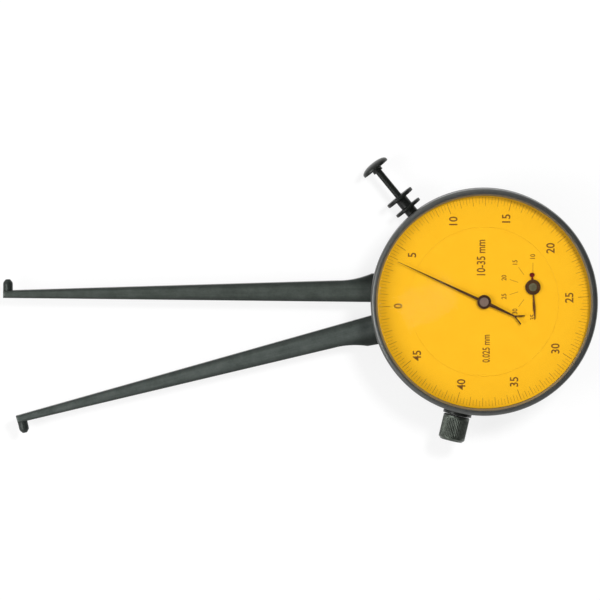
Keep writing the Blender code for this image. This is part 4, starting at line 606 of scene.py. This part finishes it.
def makeBack():
    s = backShape
    rim, top = high("back_cover")[0], high("back_cover")[2]
    profile = [(0, top, 0), (rim, top, 0.05), (rim, s["chamfer"], 0.1),
               (rim - s["chamfer"], 0, 0.1)]
    for groove in s["grooves"]:
        profile += [(groove, 0, 0.04), (groove - s["grooveWidth"] / 2, s["grooveDepth"], 0.04),
                    (groove - s["grooveWidth"], 0, 0.04)]
    profile.append((0, 0, 0))
    cover = turned("back_plate", profile, s["steps"], "root", finishes["blackCase"],
                   ["back_cover"], bend=3)
    cover.modifiers.clear()
    cuts = []
    for number in (1, 2, 3):
        node = f"cover_screw_{number}"
        spot = middle(node) * (1, 1, 0)
        headLow = low(node)[2]
        seat = headLow + s["headThickness"] + s["clearance"]
        cuts.append(("DIFFERENCE", rodCutter(s["threadRadius"] + s["clearance"], 0,
                                             top + s["overrun"], s["holeSteps"], spot)))
        cuts.append(("DIFFERENCE", rodCutter(s["headRadius"] + s["clearance"], -s["overrun"],
                                             seat, s["screwSteps"], spot)))
        headTop = headLow + s["headThickness"]
        screw = turned(f"cover_screw_{number}_fine", [
            (0, high(node)[2], 0), (s["threadRadius"], high(node)[2], 0.15),
            (s["threadRadius"], headTop, 0.05), (s["headRadius"], headTop, 0.1),
            (s["headRadius"], headLow, 0.2), (0, headLow, 0)], s["screwSteps"], "root",
            finishes["brightSteel"], place=spot)
        screw.modifiers.clear()
        half = s["slotWidth"] / 2
        applyCuts(screw, [("DIFFERENCE", boxCutter(
            spot + np.array((-2 * s["headRadius"], -half, headLow - s["overrun"])),
            spot + np.array((2 * s["headRadius"], half, headLow + s["slotDepth"]))))])
        finishPiece(screw, "root", finishes["brightSteel"], [node], 35)
    applyCuts(cover, cuts)
    finishPiece(cover, "root", finishes["blackCase"], ["back_cover"], 30)


makeCase()
makeWindow()
makeBack()
print("case, window and back made")


# Legs and contacts

legShape = {"tipWidth": 1.65, "neckWidth": 4.8, "rootWidth": 6.5, "flare": 7.8,
            "edge": 0.5, "edgeShare": 0.24, "contactLength": 2.5, "hubRadius": 2.8,
            "slopeDeg": 15.8, "topOffset": 4.6, "seat": 0.1, "lobeDistance": 5.5,
            "lobeRadius": 1.8, "armRoot": 4.6, "noseRadius": 1.3, "travelDeg": 16.2,
            # The edge tone on the next line is painted shade along the legs' bevelled edges.
            "edgeShadeTone": (0.018, 0.023, 0.020), "noseFlat": 0.5, "noseLength": 0.75, "sunk": 0.4,
            "steps": 60, "flareSteps": 24, "arcSteps": 24, "heelDeg": 30, "screwHole": 0.6,
            "pivotHole": 1.35, "pegHole": 0.5, "holeEdge": 0.05, "innerEdge": 0.3}
legShape["contactRadius"] = (high("fixed_contact")[0] - low("fixed_contact")[0]) / 2
legShape["rootY"] = low("fixed_leg")[1]
legShape["tipY"] = low("fixed_contact")[1] - legShape["seat"] - legShape["tipWidth"]


def legWidth(share, s):
    # neck + (root - neck) * share^2 over the flare; share is 0 at the neck and 1 at the case.
    return s["neckWidth"] + (s["rootWidth"] - s["neckWidth"]) * share ** 2


def makeContact(name, node, place, out, body, material):
    s = legShape
    profile = roundedProfile([
        (0, s["contactLength"], 0), (s["noseFlat"], s["contactLength"], 0.2),
        (s["contactRadius"], s["contactLength"] - s["noseLength"], 0.35),
        (s["contactRadius"], -s["sunk"], 0), (0, -s["sunk"], 0)])
    addPiece(name, turnedPoints(profile, 48, place, out), gridFaces(len(profile), 48), body,
             material, [node])


def paintLegEdgeShade(material, tipMiddle, neckMiddle):
    # Painted shade: dark lines along both edges of the leg, from its tip to the case, where its
    # bevels turn away from the light.
    s = legShape
    run = neckMiddle - tipMiddle
    growth = (s["neckWidth"] - s["tipWidth"]) / 2 / np.linalg.norm(run)
    paintOver(material, s["edgeShadeTone"], bandGroup, {
        "Start": (tipMiddle[0] * mm, tipMiddle[1] * mm, 0),
        "Turn": (0, 0, -math.atan2(run[1], run[0])),
        "Half": s["tipWidth"] / 2 * mm, "Growth": growth})


def makeFixedLeg():
    s = legShape
    far, inner = low("fixed_leg")[0], high("fixed_leg")[0]
    near = -caseRadius
    neck = near - s["flare"]
    along = np.linspace(far, near, s["steps"])
    slope = (s["tipY"] - s["rootY"]) / (near - far)
    lower = np.column_stack([along, s["rootY"] + slope * (near - along)])
    share = np.linspace(1, 0, s["flareSteps"])
    flareX = near + (neck - near) * (1 - share)
    flare = np.column_stack([flareX, s["rootY"] + slope * (near - flareX) + legWidth(share, s)])
    shaft = np.linspace(neck, far, s["steps"])[1:]
    width = s["neckWidth"] + (s["tipWidth"] - s["neckWidth"]) * (neck - shaft) / (neck - far)
    upper = np.column_stack([shaft, s["rootY"] + slope * (near - shaft) + width])
    outline = np.vstack([lower, [(inner, s["rootY"]), (inner, s["rootY"] + s["rootWidth"])],
                         flare, upper])
    localWidth = np.concatenate([
        np.interp(along, [far, neck, near], [s["tipWidth"], s["neckWidth"], s["rootWidth"]]),
        [s["rootWidth"]] * 2, legWidth(share, s), width])
    edge = np.minimum(s["edge"], localWidth * s["edgeShare"])
    holes = [circlePoints(middle(f"fixed_leg_screw_{i}"), s["screwHole"], 24) for i in (1, 2)]
    edgedPlate("leg_fixed", outline, legLow, legTop, edge, "root", finishes["blackLeg"],
               ["fixed_leg"], [hole[::-1] for hole in holes], s["holeEdge"])
    tipMiddle = np.array((far, s["tipY"] + s["tipWidth"] / 2))
    neckMiddle = np.array((neck, s["rootY"] + slope * s["flare"] + s["neckWidth"] / 2))
    paintLegEdgeShade(finishes["blackLeg"], tipMiddle, neckMiddle)
    place = (far + s["contactRadius"], s["tipY"] + s["tipWidth"] + s["seat"],
             (legLow + legTop) / 2)
    makeContact("contact_fixed", "fixed_contact", place, (0, 1, 0), "root", finishes["blackLeg"])


def makeTurningLeg():
    s = legShape
    slope = math.radians(s["slopeDeg"])
    out = np.array((-math.cos(slope), -math.sin(slope)))
    down = np.array((math.sin(slope), -math.cos(slope)))
    center = pivot[:2]

    def spot(outwards, across):
        # pivot + out * outwards + down * across, for whole arrays of both.
        return center + np.multiply.outer(outwards, out) + np.multiply.outer(across, down)

    top = -s["topOffset"]
    caseAt = caseRadius - np.linalg.norm(center) + s["hubRadius"]
    neckAt = caseAt + s["flare"]
    # The lowest x of the leg's end gives its reach from the pivot.
    tipX = low("moving_leg")[0] - pivot[0]
    reach = -(tipX + s["topOffset"] * math.sin(slope)) / math.cos(slope)
    steps = s["steps"]
    along = np.linspace(s["hubRadius"], reach, steps)
    upper = spot(along, np.full(steps, top))
    shaft = np.linspace(reach, neckAt, steps)
    width = s["tipWidth"] + (s["neckWidth"] - s["tipWidth"]) * (reach - shaft) / (reach - neckAt)
    lower = spot(shaft, top + width)
    share = np.linspace(0, 1, s["flareSteps"])[1:]
    flareAt = neckAt + (caseAt - neckAt) * share
    flare = spot(flareAt, top + legWidth(share, s))
    toIdler = idler[:2] - center
    lobeDeg = math.degrees(math.atan2(toIdler[1], toIdler[0])) + s["travelDeg"] / 2
    lobe = polar(center, s["lobeDistance"], lobeDeg)
    noseMid = buttonOut[:2] * (center @ buttonOut[:2])
    toNose = noseMid - center
    armLength = np.linalg.norm(toNose)
    armDeg = math.degrees(math.atan2(toNose[1], toNose[0])) + s["travelDeg"] / 2
    nose = polar(center, armLength, armDeg)
    outline = np.vstack([
        upper, lower, flare, [spot(0, s["hubRadius"])],
        arcPoints(lobe, s["lobeRadius"], lobeDeg - 90, lobeDeg + 90, s["arcSteps"]),
        [polar(center, s["armRoot"], (lobeDeg + armDeg) / 2)],
        arcPoints(nose, s["noseRadius"], armDeg - 90, armDeg + 90, s["arcSteps"]),
        [polar(center, s["armRoot"], armDeg + s["heelDeg"])]])
    innerCount = 2 * (s["arcSteps"] + 1) + 2
    localWidth = np.concatenate([np.interp(along, [neckAt, reach], [s["neckWidth"], s["tipWidth"]]),
                                 width, np.full(len(outline) - 2 * steps, s["neckWidth"])])
    edge = np.minimum(s["edge"], localWidth * s["edgeShare"])
    edge[-innerCount:] = s["innerEdge"]
    holes = [circlePoints(pivot, s["pivotHole"], 32),
             circlePoints(middle("sector_screw"), s["screwHole"], 20),
             circlePoints(middle("sector_dowel"), s["pegHole"], 20),
             circlePoints(middle("spring_peg"), s["pegHole"], 20)]
    edgedPlate("leg_turning", outline, legLow, legTop, edge, "turning_leg",
               finishes["blackTurningLeg"], ["moving_leg"],
               [hole[::-1] for hole in holes], s["holeEdge"])
    paintLegEdgeShade(finishes["blackTurningLeg"], spot(reach, top + s["tipWidth"] / 2),
             spot(neckAt, top + s["neckWidth"] / 2))
    end = spot(reach, top + s["tipWidth"])
    lowerEdge = spot(neckAt, top + s["neckWidth"]) - end
    lowerEdge = lowerEdge / np.linalg.norm(lowerEdge)
    square = np.array((lowerEdge[1], -lowerEdge[0]))
    base = end + lowerEdge * s["contactRadius"] + square * s["seat"]
    makeContact("contact_turning", "moving_contact", (*base, (legLow + legTop) / 2),
                (*square, 0), "turning_leg", finishes["blackTurningLeg"])


makeFixedLeg()
makeTurningLeg()
print("legs and contacts made")


# Dial, scale ring and print

dialShape = {"steps": 192, "edge": 0.012, "rimEdge": 0.06, "centerHole": 0.55,
             "counterHole": 0.6, "meeting": 17.1, "gap": 0.02, "printLow": -0.01,
             "printHigh": 0.012}


def makeDial():
    s = dialShape
    radius = s["meeting"] - s["gap"] / 2
    holes = [circlePoints((0, 0), s["centerHole"], 32)[::-1],
             circlePoints(counter, s["counterHole"], 32)[::-1]]
    edgedPlate("dial_disc", circlePoints((0, 0), radius, s["steps"]), dialLow, dialTop,
               s["edge"], "root", finishes["yellow"], ["inner_dial"], holes, 0.03)
    outer = high("scale_ring")[0]
    inner = s["meeting"] + s["gap"] / 2
    turned("scale_disc", [(outer, dialTop, s["rimEdge"]), (outer, dialLow, s["rimEdge"]),
                          (inner, dialLow, s["edge"]), (inner, dialTop, s["edge"])],
           s["steps"], "scale", finishes["yellow"], ["scale_ring"], closed=True)


def tickBoxes(places, directions, lengths, widths, bottom, top):
    # Box i: corner = place + along * (0 or length) + across * (-width/2 or width/2), at two heights.
    directions = np.asarray(directions, float)
    along = np.stack([np.cos(directions), np.sin(directions)], axis=1)
    across = np.stack([-along[:, 1], along[:, 0]], axis=1)
    corners = []
    for u, v, z in ((0, -.5, 0), (1, -.5, 0), (1, .5, 0), (0, .5, 0),
                    (0, -.5, 1), (1, -.5, 1), (1, .5, 1), (0, .5, 1)):
        flat = places + along * (u * lengths)[:, None] + across * (v * widths)[:, None]
        corners.append(np.column_stack([flat, np.full(len(flat), bottom + z * (top - bottom))]))
    points = np.stack(corners, axis=1)
    box = np.array([(0, 3, 2, 1), (4, 5, 6, 7), (0, 1, 5, 4), (1, 2, 6, 5), (2, 3, 7, 6),
                    (3, 0, 4, 7)])
    faces = (np.arange(len(points)) * 8)[:, None, None] + box
    return points.reshape(-1, 3), faces.reshape(-1, 4)


scalePrint = {"divisions": 200, "outer": 24.0, "lengths": (1.3, 1.6, 2.0, 2.5),
              "widths": (0.06, 0.07, 0.09, 0.12), "zeroDeg": 182.8, "numberRadius": 19.6,
              "numberHeight": 1.7, "numberWide": 0.93, "capShare": 0.64, "bold": 0.016}


def makeTicks():
    s = scalePrint
    step = np.arange(s["divisions"])
    rank = (step % 2 == 0).astype(int) + (step % 4 == 0) + (step % 20 == 0)
    angle = np.radians(s["zeroDeg"] + step * 360 / s["divisions"])
    length = np.array(s["lengths"])[rank]
    width = np.array(s["widths"])[rank]
    start = s["outer"] - length
    places = np.stack([np.cos(angle), np.sin(angle)], axis=1) * start[:, None]
    points, faces = tickBoxes(places, angle, length, width, dialTop + dialShape["printLow"],
                              dialTop + dialShape["printHigh"])
    addPiece("scale_ticks", points, faces, "scale", finishes["fineInk"], sharpDeg=20,
             weighted=False)


def textMesh(words, height, wide, place, turnDeg):
    # Text made a mesh first; then scaled across, turned and put in place.
    curve = bpy.data.curves.new("print", "FONT")
    curve.body = words
    curve.size = 1.0
    curve.align_x, curve.align_y = "CENTER", "CENTER"
    curve.extrude = 0.5
    curve.resolution_u = 4
    curve.offset = scalePrint["bold"]
    shape = linked("print", curve)
    depsgraph = bpy.context.evaluated_depsgraph_get()
    mesh = bpy.data.meshes.new_from_object(shape.evaluated_get(depsgraph))
    bpy.data.objects.remove(shape, do_unlink=True)
    thickness = dialShape["printHigh"] - dialShape["printLow"]
    lift = dialTop + (dialShape["printHigh"] + dialShape["printLow"]) / 2
    size = height / scalePrint["capShare"]
    mesh.transform(Matrix.Translation(Vector((place[0], place[1], lift)) * mm)
                   @ Matrix.Rotation(math.radians(turnDeg), 4, "Z")
                   @ Matrix.Diagonal((size * wide * mm, size * mm, thickness * mm, 1)))
    return mesh


def makeWords(name, items, body):
    sculpt = bmesh.new()
    for item in items:
        mesh = textMesh(*item)
        sculpt.from_mesh(mesh)
        bpy.data.meshes.remove(mesh)
    bmesh.ops.remove_doubles(sculpt, verts=sculpt.verts, dist=joinDistance)
    bmesh.ops.recalc_face_normals(sculpt, faces=sculpt.faces)
    mesh = bpy.data.meshes.new(name)
    sculpt.to_mesh(mesh)
    sculpt.free()
    finishPiece(linked(name, mesh), body, finishes["print"], sharpDeg=20,
                weighted=False)


counterPrint = {"radius": 6.9, "height": 1.0, "wide": 0.85,
                "labels": {90: "10", 126: "15", 162: "20", 198: "25", 234: "30", 270: "35"},
                "spokes": (3.5, 5.6), "spokeWidth": 0.10,
                "words": (("10-35 mm", 1.75, 0.76, (-0.6, 10.0), 90),
                          ("0.025 mm", 1.5, 0.68, (0.55, -10.7), 90))}


def makePrint():
    s = scalePrint
    numbers = []
    for i in range(10):
        place = polar((0, 0), s["numberRadius"], s["zeroDeg"] - 36 * i)
        numbers.append((str(5 * i), s["numberHeight"], s["numberWide"], place, 90))
    makeWords("scale_numbers", numbers, "scale")
    c = counterPrint
    items = []
    for degrees, label in c["labels"].items():
        place = polar(counter, c["radius"], degrees)
        items.append((label, c["height"], c["wide"], place, 90))
    makeWords("dial_words", items + list(c["words"]), "root")
    angle = np.radians(list(c["labels"]))
    ray = np.stack([np.cos(angle), np.sin(angle)], axis=1)
    places = counter[:2] + ray * c["spokes"][0]
    count = len(angle)
    points, faces = tickBoxes(places, angle, np.full(count, c["spokes"][1] - c["spokes"][0]),
                              np.full(count, c["spokeWidth"]), dialTop + dialShape["printLow"],
                              dialTop + dialShape["printHigh"])
    addPiece("counter_spokes", points, faces, "root", finishes["fineInk"], sharpDeg=20,
             weighted=False)


makeDial()
makeTicks()
makePrint()
print("dial and print made")


# Hands

handShape = {"restDeg": 155.0, "length": 21.8, "tail": 9.8, "hub": 1.6, "boss": 1.2,
             "root": 0.32, "tip": 0.045, "tailRoot": 0.40, "tailHalf": 0.19, "forkHalf": 1.2,
             "forkDepth": 2.1, "notchDepth": 1.6, "prongWidth": 0.3, "prongSlant": 0.12,
             "prongCut": 0.1, "rootShare": 0.8, "edge": 0.05, "holeEdge": 0.02, "clearance": 0.1,
             "bore": 0.45, "boreDepth": 0.3, "paintFrom": 0.98, "paintTo": 1.12,
             "hubPaint": (0.020, 0.009, 0.006)}


def turnPoints(outline, degrees, center=(0, 0)):
    # x cos - y sin, x sin + y cos, then moved to the center.
    a = math.radians(degrees)
    spin = np.array(((math.cos(a), math.sin(a)), (-math.sin(a), math.cos(a))))
    return outline @ spin + np.array(center)[:2]


def makeMainHand():
    s = handShape
    root = s["hub"] * s["rootShare"]
    tailEnd = s["tail"] - s["forkDepth"]
    upper = np.vstack([
        [(s["length"], s["tip"]), (root, s["root"])],
        arcPoints((0, 0), s["hub"], 20, 160, 24),
        [(-s["hub"], s["tailRoot"]), (-tailEnd, s["tailHalf"]),
         (-s["tail"] + s["prongSlant"], s["forkHalf"]),
         (-s["tail"], s["forkHalf"] - s["prongCut"]),
         (-s["tail"], s["forkHalf"] - s["prongWidth"]),
         (-s["tail"] + s["notchDepth"], s["prongCut"])]])
    outline = np.vstack([upper, (upper * (1, -1))[::-1]])
    bottom, top = low("main_pointer")[2], high("main_pointer")[2]
    hole = circlePoints((0, 0), s["boss"] + s["clearance"], 48)[::-1]
    edgedPlate("hand_main", turnPoints(outline, s["restDeg"]), bottom, top, s["edge"],
               "main_hand", finishes["hand"], ["main_pointer"], [hole], s["holeEdge"],
               bend=2)
    hubLow, hubTop = low("main_hub")[2], high("main_hub")[2]
    seat, boreTop = bottom - s["clearance"], hubLow + s["boreDepth"]
    turned("hand_main_hub", [(0, hubTop, 0), (s["boss"], hubTop, 0.12), (s["boss"], seat, 0.02),
                             (s["hub"], seat, 0.06), (s["hub"], hubLow, 0.06),
                             (s["bore"], hubLow, 0), (s["bore"], boreTop, 0), (0, boreTop, 0)],
           64, "main_hand", finishes["hub"], ["main_hub"], bend=4)
    paintOver(finishes["hub"], s["hubPaint"], distanceGroup, {"Near": s["paintFrom"] * mm,
                                                              "Far": s["paintTo"] * mm})


counterShape = {"restDeg": 274.0, "length": 7.3, "tail": 2.8, "hub": 1.76, "half": 0.3,
                "tip": 0.09, "blob": 0.58, "stem": 0.8, "cap": 0.92, "capRise": 0.05,
                "weightPaint": (0.13, 0.005, 0.003), "bellyShare": 0.62, "neckShare": 0.6,
                "edge": 0.04, "holeEdge": 0.02, "clearance": 0.05, "paintShares": (2.2, 1.8)}


def makeCounterHand():
    s = counterShape
    upper = np.vstack([
        [(s["length"], s["tip"]), (s["length"] * s["bellyShare"], s["half"]),
         (s["hub"], s["half"] * s["neckShare"])],
        arcPoints((0, 0), s["hub"] * s["neckShare"], 30, 150, 16),
        [(-s["tail"] + s["blob"], s["tip"] * 2)],
        arcPoints((-s["tail"], 0), s["blob"], 60, 150, 8)])
    outline = np.vstack([upper, (upper * (1, -1))[::-1]])
    bottom, top = low("counter_pointer")[2], high("counter_pointer")[2]
    hole = circlePoints(counter, s["stem"] + s["clearance"], 48)[::-1]
    edgedPlate("hand_counter", turnPoints(outline, s["restDeg"], counter), bottom, top,
               s["edge"], "counter_hand", finishes["counterHand"],
               ["counter_pointer"], [hole], s["holeEdge"], bend=2)
    weight = turnPoints(np.array([(-s["tail"], 0.0)]), s["restDeg"], counter)[0]
    paintOver(finishes["counterHand"], s["weightPaint"], distanceGroup, {
        "Centre": (weight[0] * mm, weight[1] * mm, 0),
        "Near": s["blob"] * s["paintShares"][0] * mm,
        "Far": s["blob"] * s["paintShares"][1] * mm})
    hubTop, seat = high("counter_hub")[2], top + s["clearance"]
    turned("hand_counter_hub", [(0, hubTop, 0), (s["hub"], hubTop, 0.08), (s["hub"], seat, 0.04),
                                (s["stem"], seat, 0.02), (s["stem"], bottom, 0.02),
                                (0, bottom, 0)], 64, "counter_hand", finishes["hand"],
           ["counter_hub"], place=counter, bend=4)
    capTop, capLow = hubTop + s["capRise"], hubTop - s["capRise"]
    turned("hand_counter_cap", [(0, capTop, 0), (s["cap"], capTop, 0.03), (s["cap"], capLow, 0),
                                (0, capLow, 0)], 48, "counter_hand", finishes["hubCap"],
           place=counter, bend=3)


makeMainHand()
makeCounterHand()
print("hands made")


# Push button and knob

buttonShape = {"capRadius": 3.35, "capThickness": 1.6, "boss": 1.2, "bossLength": 0.8,
               "rod": 0.78, "guideTop": 3.47, "guideTopThickness": 0.9, "guideNeck": 1.4,
               "nut": 3.35, "nutThickness": 0.75, "nutReach": 27.8, "guideReach": 30.85,
               "guideInner": 22.6, "rim": 0.45}


def makeButton():
    s = buttonShape
    place = (0, 0, (legLow + legTop) / 2)
    capLow = buttonReach - s["capThickness"]
    angle = np.radians(np.linspace(0, 90, 16))
    dome = np.column_stack([s["capRadius"] * np.sin(angle) ** 0.9,
                            capLow + s["rim"] + (s["capThickness"] - s["rim"]) * np.cos(angle)])
    skirt = roundedProfile([(s["capRadius"], capLow + s["rim"], 0), (s["capRadius"], capLow, 0.2),
                            (s["boss"], capLow, 0.15), (s["boss"], capLow - s["bossLength"], 0.1),
                            (0, capLow - s["bossLength"], 0)])
    profile = np.vstack([dome, skirt])
    addPiece("button_dome", turnedPoints(profile, 96, place, buttonOut),
             gridFaces(len(profile), 96), "push_button", finishes["blackSmall"],
             ["button_cap"])
    turned("button_rod", [(0, capLow - 0.4, 0), (s["rod"], capLow - 0.4, 0.05),
                          (s["rod"], rodInner, 0.2), (0, rodInner, 0)], 48, "push_button",
           finishes["blackRod"], ["push_rod"], place=place, out=buttonOut)
    topLow = s["guideReach"] - s["guideTopThickness"]
    nutLow = s["nutReach"] - s["nutThickness"]
    bore = s["rod"] + 0.1
    turned("guide_sleeve", [
        (s["guideTop"], s["guideReach"], 0.3), (s["guideTop"], topLow, 0.3),
        (s["guideNeck"], topLow, 0.2), (s["guideNeck"], s["nutReach"], 0.2),
        (s["nut"], s["nutReach"], 0.25), (s["nut"], nutLow, 0.25), (s["guideNeck"], nutLow, 0.1),
        (s["guideNeck"], s["guideInner"], 0.1), (bore, s["guideInner"], 0.05),
        (bore, s["guideReach"], 0.1)], 64, "root", finishes["blackRod"],
        ["button_guide"], place=place, out=buttonOut, closed=True)


knobShape = {"radius": 3.03, "low": 27.0, "reach": 32.9, "chamfer": 0.6, "flange": 3.3,
             "flangeLow": 26.1, "flangeHigh": 26.8, "bush": 1.6, "shaft": 0.8, "ridges": 44,
             "ridgeDepth": 0.09, "bushLow": 22.55, "clearance": 0.1, "dish": (1.6, 1.8),
             "dishDepth": 0.25, "footBevel": 0.15, "boreDepth": 4.07, "knurlLow": 0.5,
             "knurlHigh": 0.3, "knurlFade": 0.2, "sideSteps": 24, "ridgeSteps": 8}


def makeKnob():
    s = knobShape
    place = (0, 0, middle("zero_knob")[2])

    def knurl(height, angle):
        # Grooves of depth * (1 - |sin(ridges * a / 2)|), which fade out towards both ends.
        fade = s["knurlFade"]
        body = np.clip((height - s["low"] - s["knurlLow"]) / fade, 0, 1) * np.clip(
            (s["reach"] - s["chamfer"] - s["knurlHigh"] - height) / fade, 0, 1)
        return s["ridgeDepth"] * body * (1 - np.abs(np.sin(s["ridges"] * angle / 2)))

    bore = s["shaft"] + s["clearance"]
    dishLow, boreEnd = s["reach"] - s["dishDepth"], s["low"] + s["boreDepth"]
    side = np.column_stack([
        np.full(s["sideSteps"], s["radius"]),
        np.linspace(s["reach"] - s["chamfer"], s["low"] + s["footBevel"], s["sideSteps"])])
    profile = np.vstack([
        roundedProfile([(0, dishLow, 0), (s["dish"][0], dishLow, 0.1),
                        (s["dish"][1], s["reach"], 0.1),
                        (s["radius"] - s["chamfer"], s["reach"], 0.2),
                        (s["radius"], s["reach"] - s["chamfer"], 0)]),
        side[1:],
        roundedProfile([(s["radius"] - s["footBevel"], s["low"], 0), (bore, s["low"], 0),
                        (bore, boreEnd, 0), (0, boreEnd, 0)])])
    steps = s["ridges"] * s["ridgeSteps"]
    addPiece("knob_knurled", turnedPoints(profile, steps, place, knobOut, knurl),
             gridFaces(len(profile), steps), "knob", finishes["blackKnob"],
             ["zero_knob"])
    turned("knob_collar", [
        (s["flange"], s["flangeHigh"], 0.15), (s["flange"], s["flangeLow"], 0.15),
        (s["bush"], s["flangeLow"], 0.05), (s["bush"], s["bushLow"], 0.1),
        (bore, s["bushLow"], 0.05), (bore, s["flangeHigh"], 0.1)], 96, "root",
        finishes["blackSmall"], ["knob_bush"], place=place, out=knobOut,
        closed=True)


makeButton()
makeKnob()
print("button and knob made")


# Finishes of the carried-over nodes

slotFinish = {"bright_steel": "brightSteel", "brass": "brass", "blackened_steel": "blackSmall",
              "black_paint": "blackBezel", "crystal": "glass", "gasket": "cream",
              "yellow_dial": "yellow", "hands": "hand"}
for node in nodes.values():
    for place in node.material_slots:
        slot = place.material.name.split(".")[0]
        place.material = finishes[slotFinish.get(slot, "brightSteel")]
print("carried-over nodes finished")


# Camera, floor and light

cameraView = {"lens": 1200.0, "sensor": 36.0, "width": 137.2, "target": (-42.14, 0.57, 16.8),
              "tiltDeg": 2.7, "aroundDeg": 90.0}


def slanted(offDeg, aroundDeg):
    # Unit vector at an angle off the vertical, turned round it.
    off, around = math.radians(offDeg), math.radians(aroundDeg)
    return Vector((math.sin(off) * math.cos(around), math.sin(off) * math.sin(around),
                   math.cos(off)))


def makeCamera():
    v = cameraView
    data = bpy.data.cameras.new("photo_view")
    data.lens, data.sensor_width = v["lens"], v["sensor"]
    camera = linked("photo_view", data)
    distance = v["width"] * v["lens"] / data.sensor_width
    back = slanted(v["tiltDeg"], v["aroundDeg"])
    camera.location = (Vector(v["target"]) + back * distance) * mm
    up = Vector((0, 1, 0))
    side = up.cross(back).normalized()
    camera.rotation_mode = "QUATERNION"
    camera.rotation_quaternion = Matrix((side, back.cross(side), back)).transposed().to_quaternion()
    data.clip_start, data.clip_end = 0.05, 20
    bpy.context.scene.camera = camera


def areaLight(name, offDeg, aroundDeg, distance, size, power, aim, mirrored):
    # Rectangle at an angle off the vertical, turned to face the point aimed at.
    data = bpy.data.lights.new(name, "AREA")
    data.shape = "RECTANGLE"
    data.size, data.size_y = size
    data.energy = power
    lamp = linked(name, data)
    back = slanted(offDeg, aroundDeg)
    lamp.location = back * distance + Vector(aim) * mm
    lamp.rotation_mode = "QUATERNION"
    lamp.rotation_quaternion = back.to_track_quat("Z", "Y")
    lamp.visible_glossy = mirrored


studio = {"overhead": 0.07, "sides": 0.88, "darkSide": 0.03, "towardsDark": (0.99, 0.1, 0.0),
          "sideFade": (0.0, 0.7), "overheadFade": (0.80, 0.98), "ambient": 0.45,
          "floorReach": 6.0, "floorDrop": 0.05, "floorColor": 0.94, "floorGlow": 0.8}
lamps = {"key": (25, 45, 0.9, (0.16, 0.16), 4.9, (-20, 0, 10), False),
         "legFill": (40, 195, 0.5, (0.25, 0.25), 1.1, (-80, 0, 5), True),
         "panel": (5.8, 208, 2.0, (0.12, 0.2), 0.5, (0, 0, 16), True)}


def makeWorld():
    # White to the camera, an even level for diffuse light, and for reflections a sky that is
    # dark overhead and on one side.
    s = studio
    world = bpy.data.worlds.new("studio")
    bpy.context.scene.world = world
    world.use_nodes = True
    tree = world.node_tree
    background = tree.nodes["Background"]
    where = addNode(tree, "ShaderNodeTexCoord")
    split = addNode(tree, "ShaderNodeSeparateXYZ")
    aside = addNode(tree, "ShaderNodeVectorMath", {1: s["towardsDark"]},
                    operation="DOT_PRODUCT")
    around = addNode(tree, "ShaderNodeMapRange", {
        "From Min": s["sideFade"][0], "From Max": s["sideFade"][1], "To Min": s["sides"],
        "To Max": s["darkSide"]})
    shade = addNode(tree, "ShaderNodeMapRange", {
        "From Min": s["overheadFade"][0], "From Max": s["overheadFade"][1],
        "To Max": s["overhead"]})
    path = addNode(tree, "ShaderNodeLightPath")
    mirrored = addNode(tree, "ShaderNodeMath", operation="MAXIMUM")
    dim = addNode(tree, "ShaderNodeMix", data_type="FLOAT")
    dim.inputs["A"].default_value = s["ambient"]
    level = addNode(tree, "ShaderNodeMix", data_type="FLOAT")
    level.inputs["B"].default_value = 1.0
    wire(tree, (where, "Generated", split, 0), (where, "Generated", aside, 0),
         (aside, "Value", around, "Value"), (around, "Result", shade, "To Min"),
         (split, "Z", shade, "Value"), (path, "Is Glossy Ray", mirrored, 0),
         (path, "Is Transmission Ray", mirrored, 1), (mirrored, 0, dim, "Factor"),
         (shade, "Result", dim, "B"), (path, "Is Camera Ray", level, "Factor"),
         (dim, "Result", level, "A"), (level, "Result", background, "Strength"))
    background.inputs["Color"].default_value = (1, 1, 1, 1)


def makeFloor():
    # Pale floor that takes the shadow, glows a little where it is seen, and is clear from below.
    s = studio
    mesh = bpy.data.meshes.new("floor")
    reach, level = s["floorReach"], -s["floorDrop"] * mm
    mesh.from_pydata([(-reach, -reach, level), (reach, -reach, level), (reach, reach, level),
                      (-reach, reach, level)], [], [(0, 1, 2, 3)])
    floor = linked("floor", mesh)
    material = bpy.data.materials.new("pale_floor")
    material.use_nodes = True
    tree = material.node_tree
    shader = tree.nodes["Principled BSDF"]
    shader.inputs["Base Color"].default_value = (*(s["floorColor"],) * 3, 1)
    shader.inputs["Roughness"].default_value = 0.9
    shader.inputs["Specular IOR Level"].default_value = 0.1
    glow = addNode(tree, "ShaderNodeEmission", {"Strength": 1.0})
    path = addNode(tree, "ShaderNodeLightPath")
    seen = addNode(tree, "ShaderNodeMath", operation="ADD")
    through = addNode(tree, "ShaderNodeMath", operation="ADD", use_clamp=True)
    share = addNode(tree, "ShaderNodeMath", {1: s["floorGlow"]}, operation="MULTIPLY")
    side = addNode(tree, "ShaderNodeNewGeometry")
    clear = addNode(tree, "ShaderNodeBsdfTransparent")
    lit = addNode(tree, "ShaderNodeMixShader")
    whole = addNode(tree, "ShaderNodeMixShader")
    wire(tree, (path, "Is Camera Ray", seen, 0), (path, "Is Glossy Ray", seen, 1),
         (seen, 0, through, 0), (path, "Is Transmission Ray", through, 1), (through, 0, share, 0),
         (share, 0, lit, "Fac"), (shader, "BSDF", lit, 1), (glow, "Emission", lit, 2),
         (side, "Backfacing", whole, "Fac"), (lit, "Shader", whole, 1), (clear, "BSDF", whole, 2),
         (whole, "Shader", tree.nodes["Material Output"], "Surface"))
    mesh.materials.append(material)


def makeStudio():
    makeWorld()
    makeFloor()
    for name, values in lamps.items():
        areaLight(name, *values)
    bpy.context.scene.view_settings.view_transform = "Standard"


makeCamera()
makeStudio()
print("camera, floor and light made")
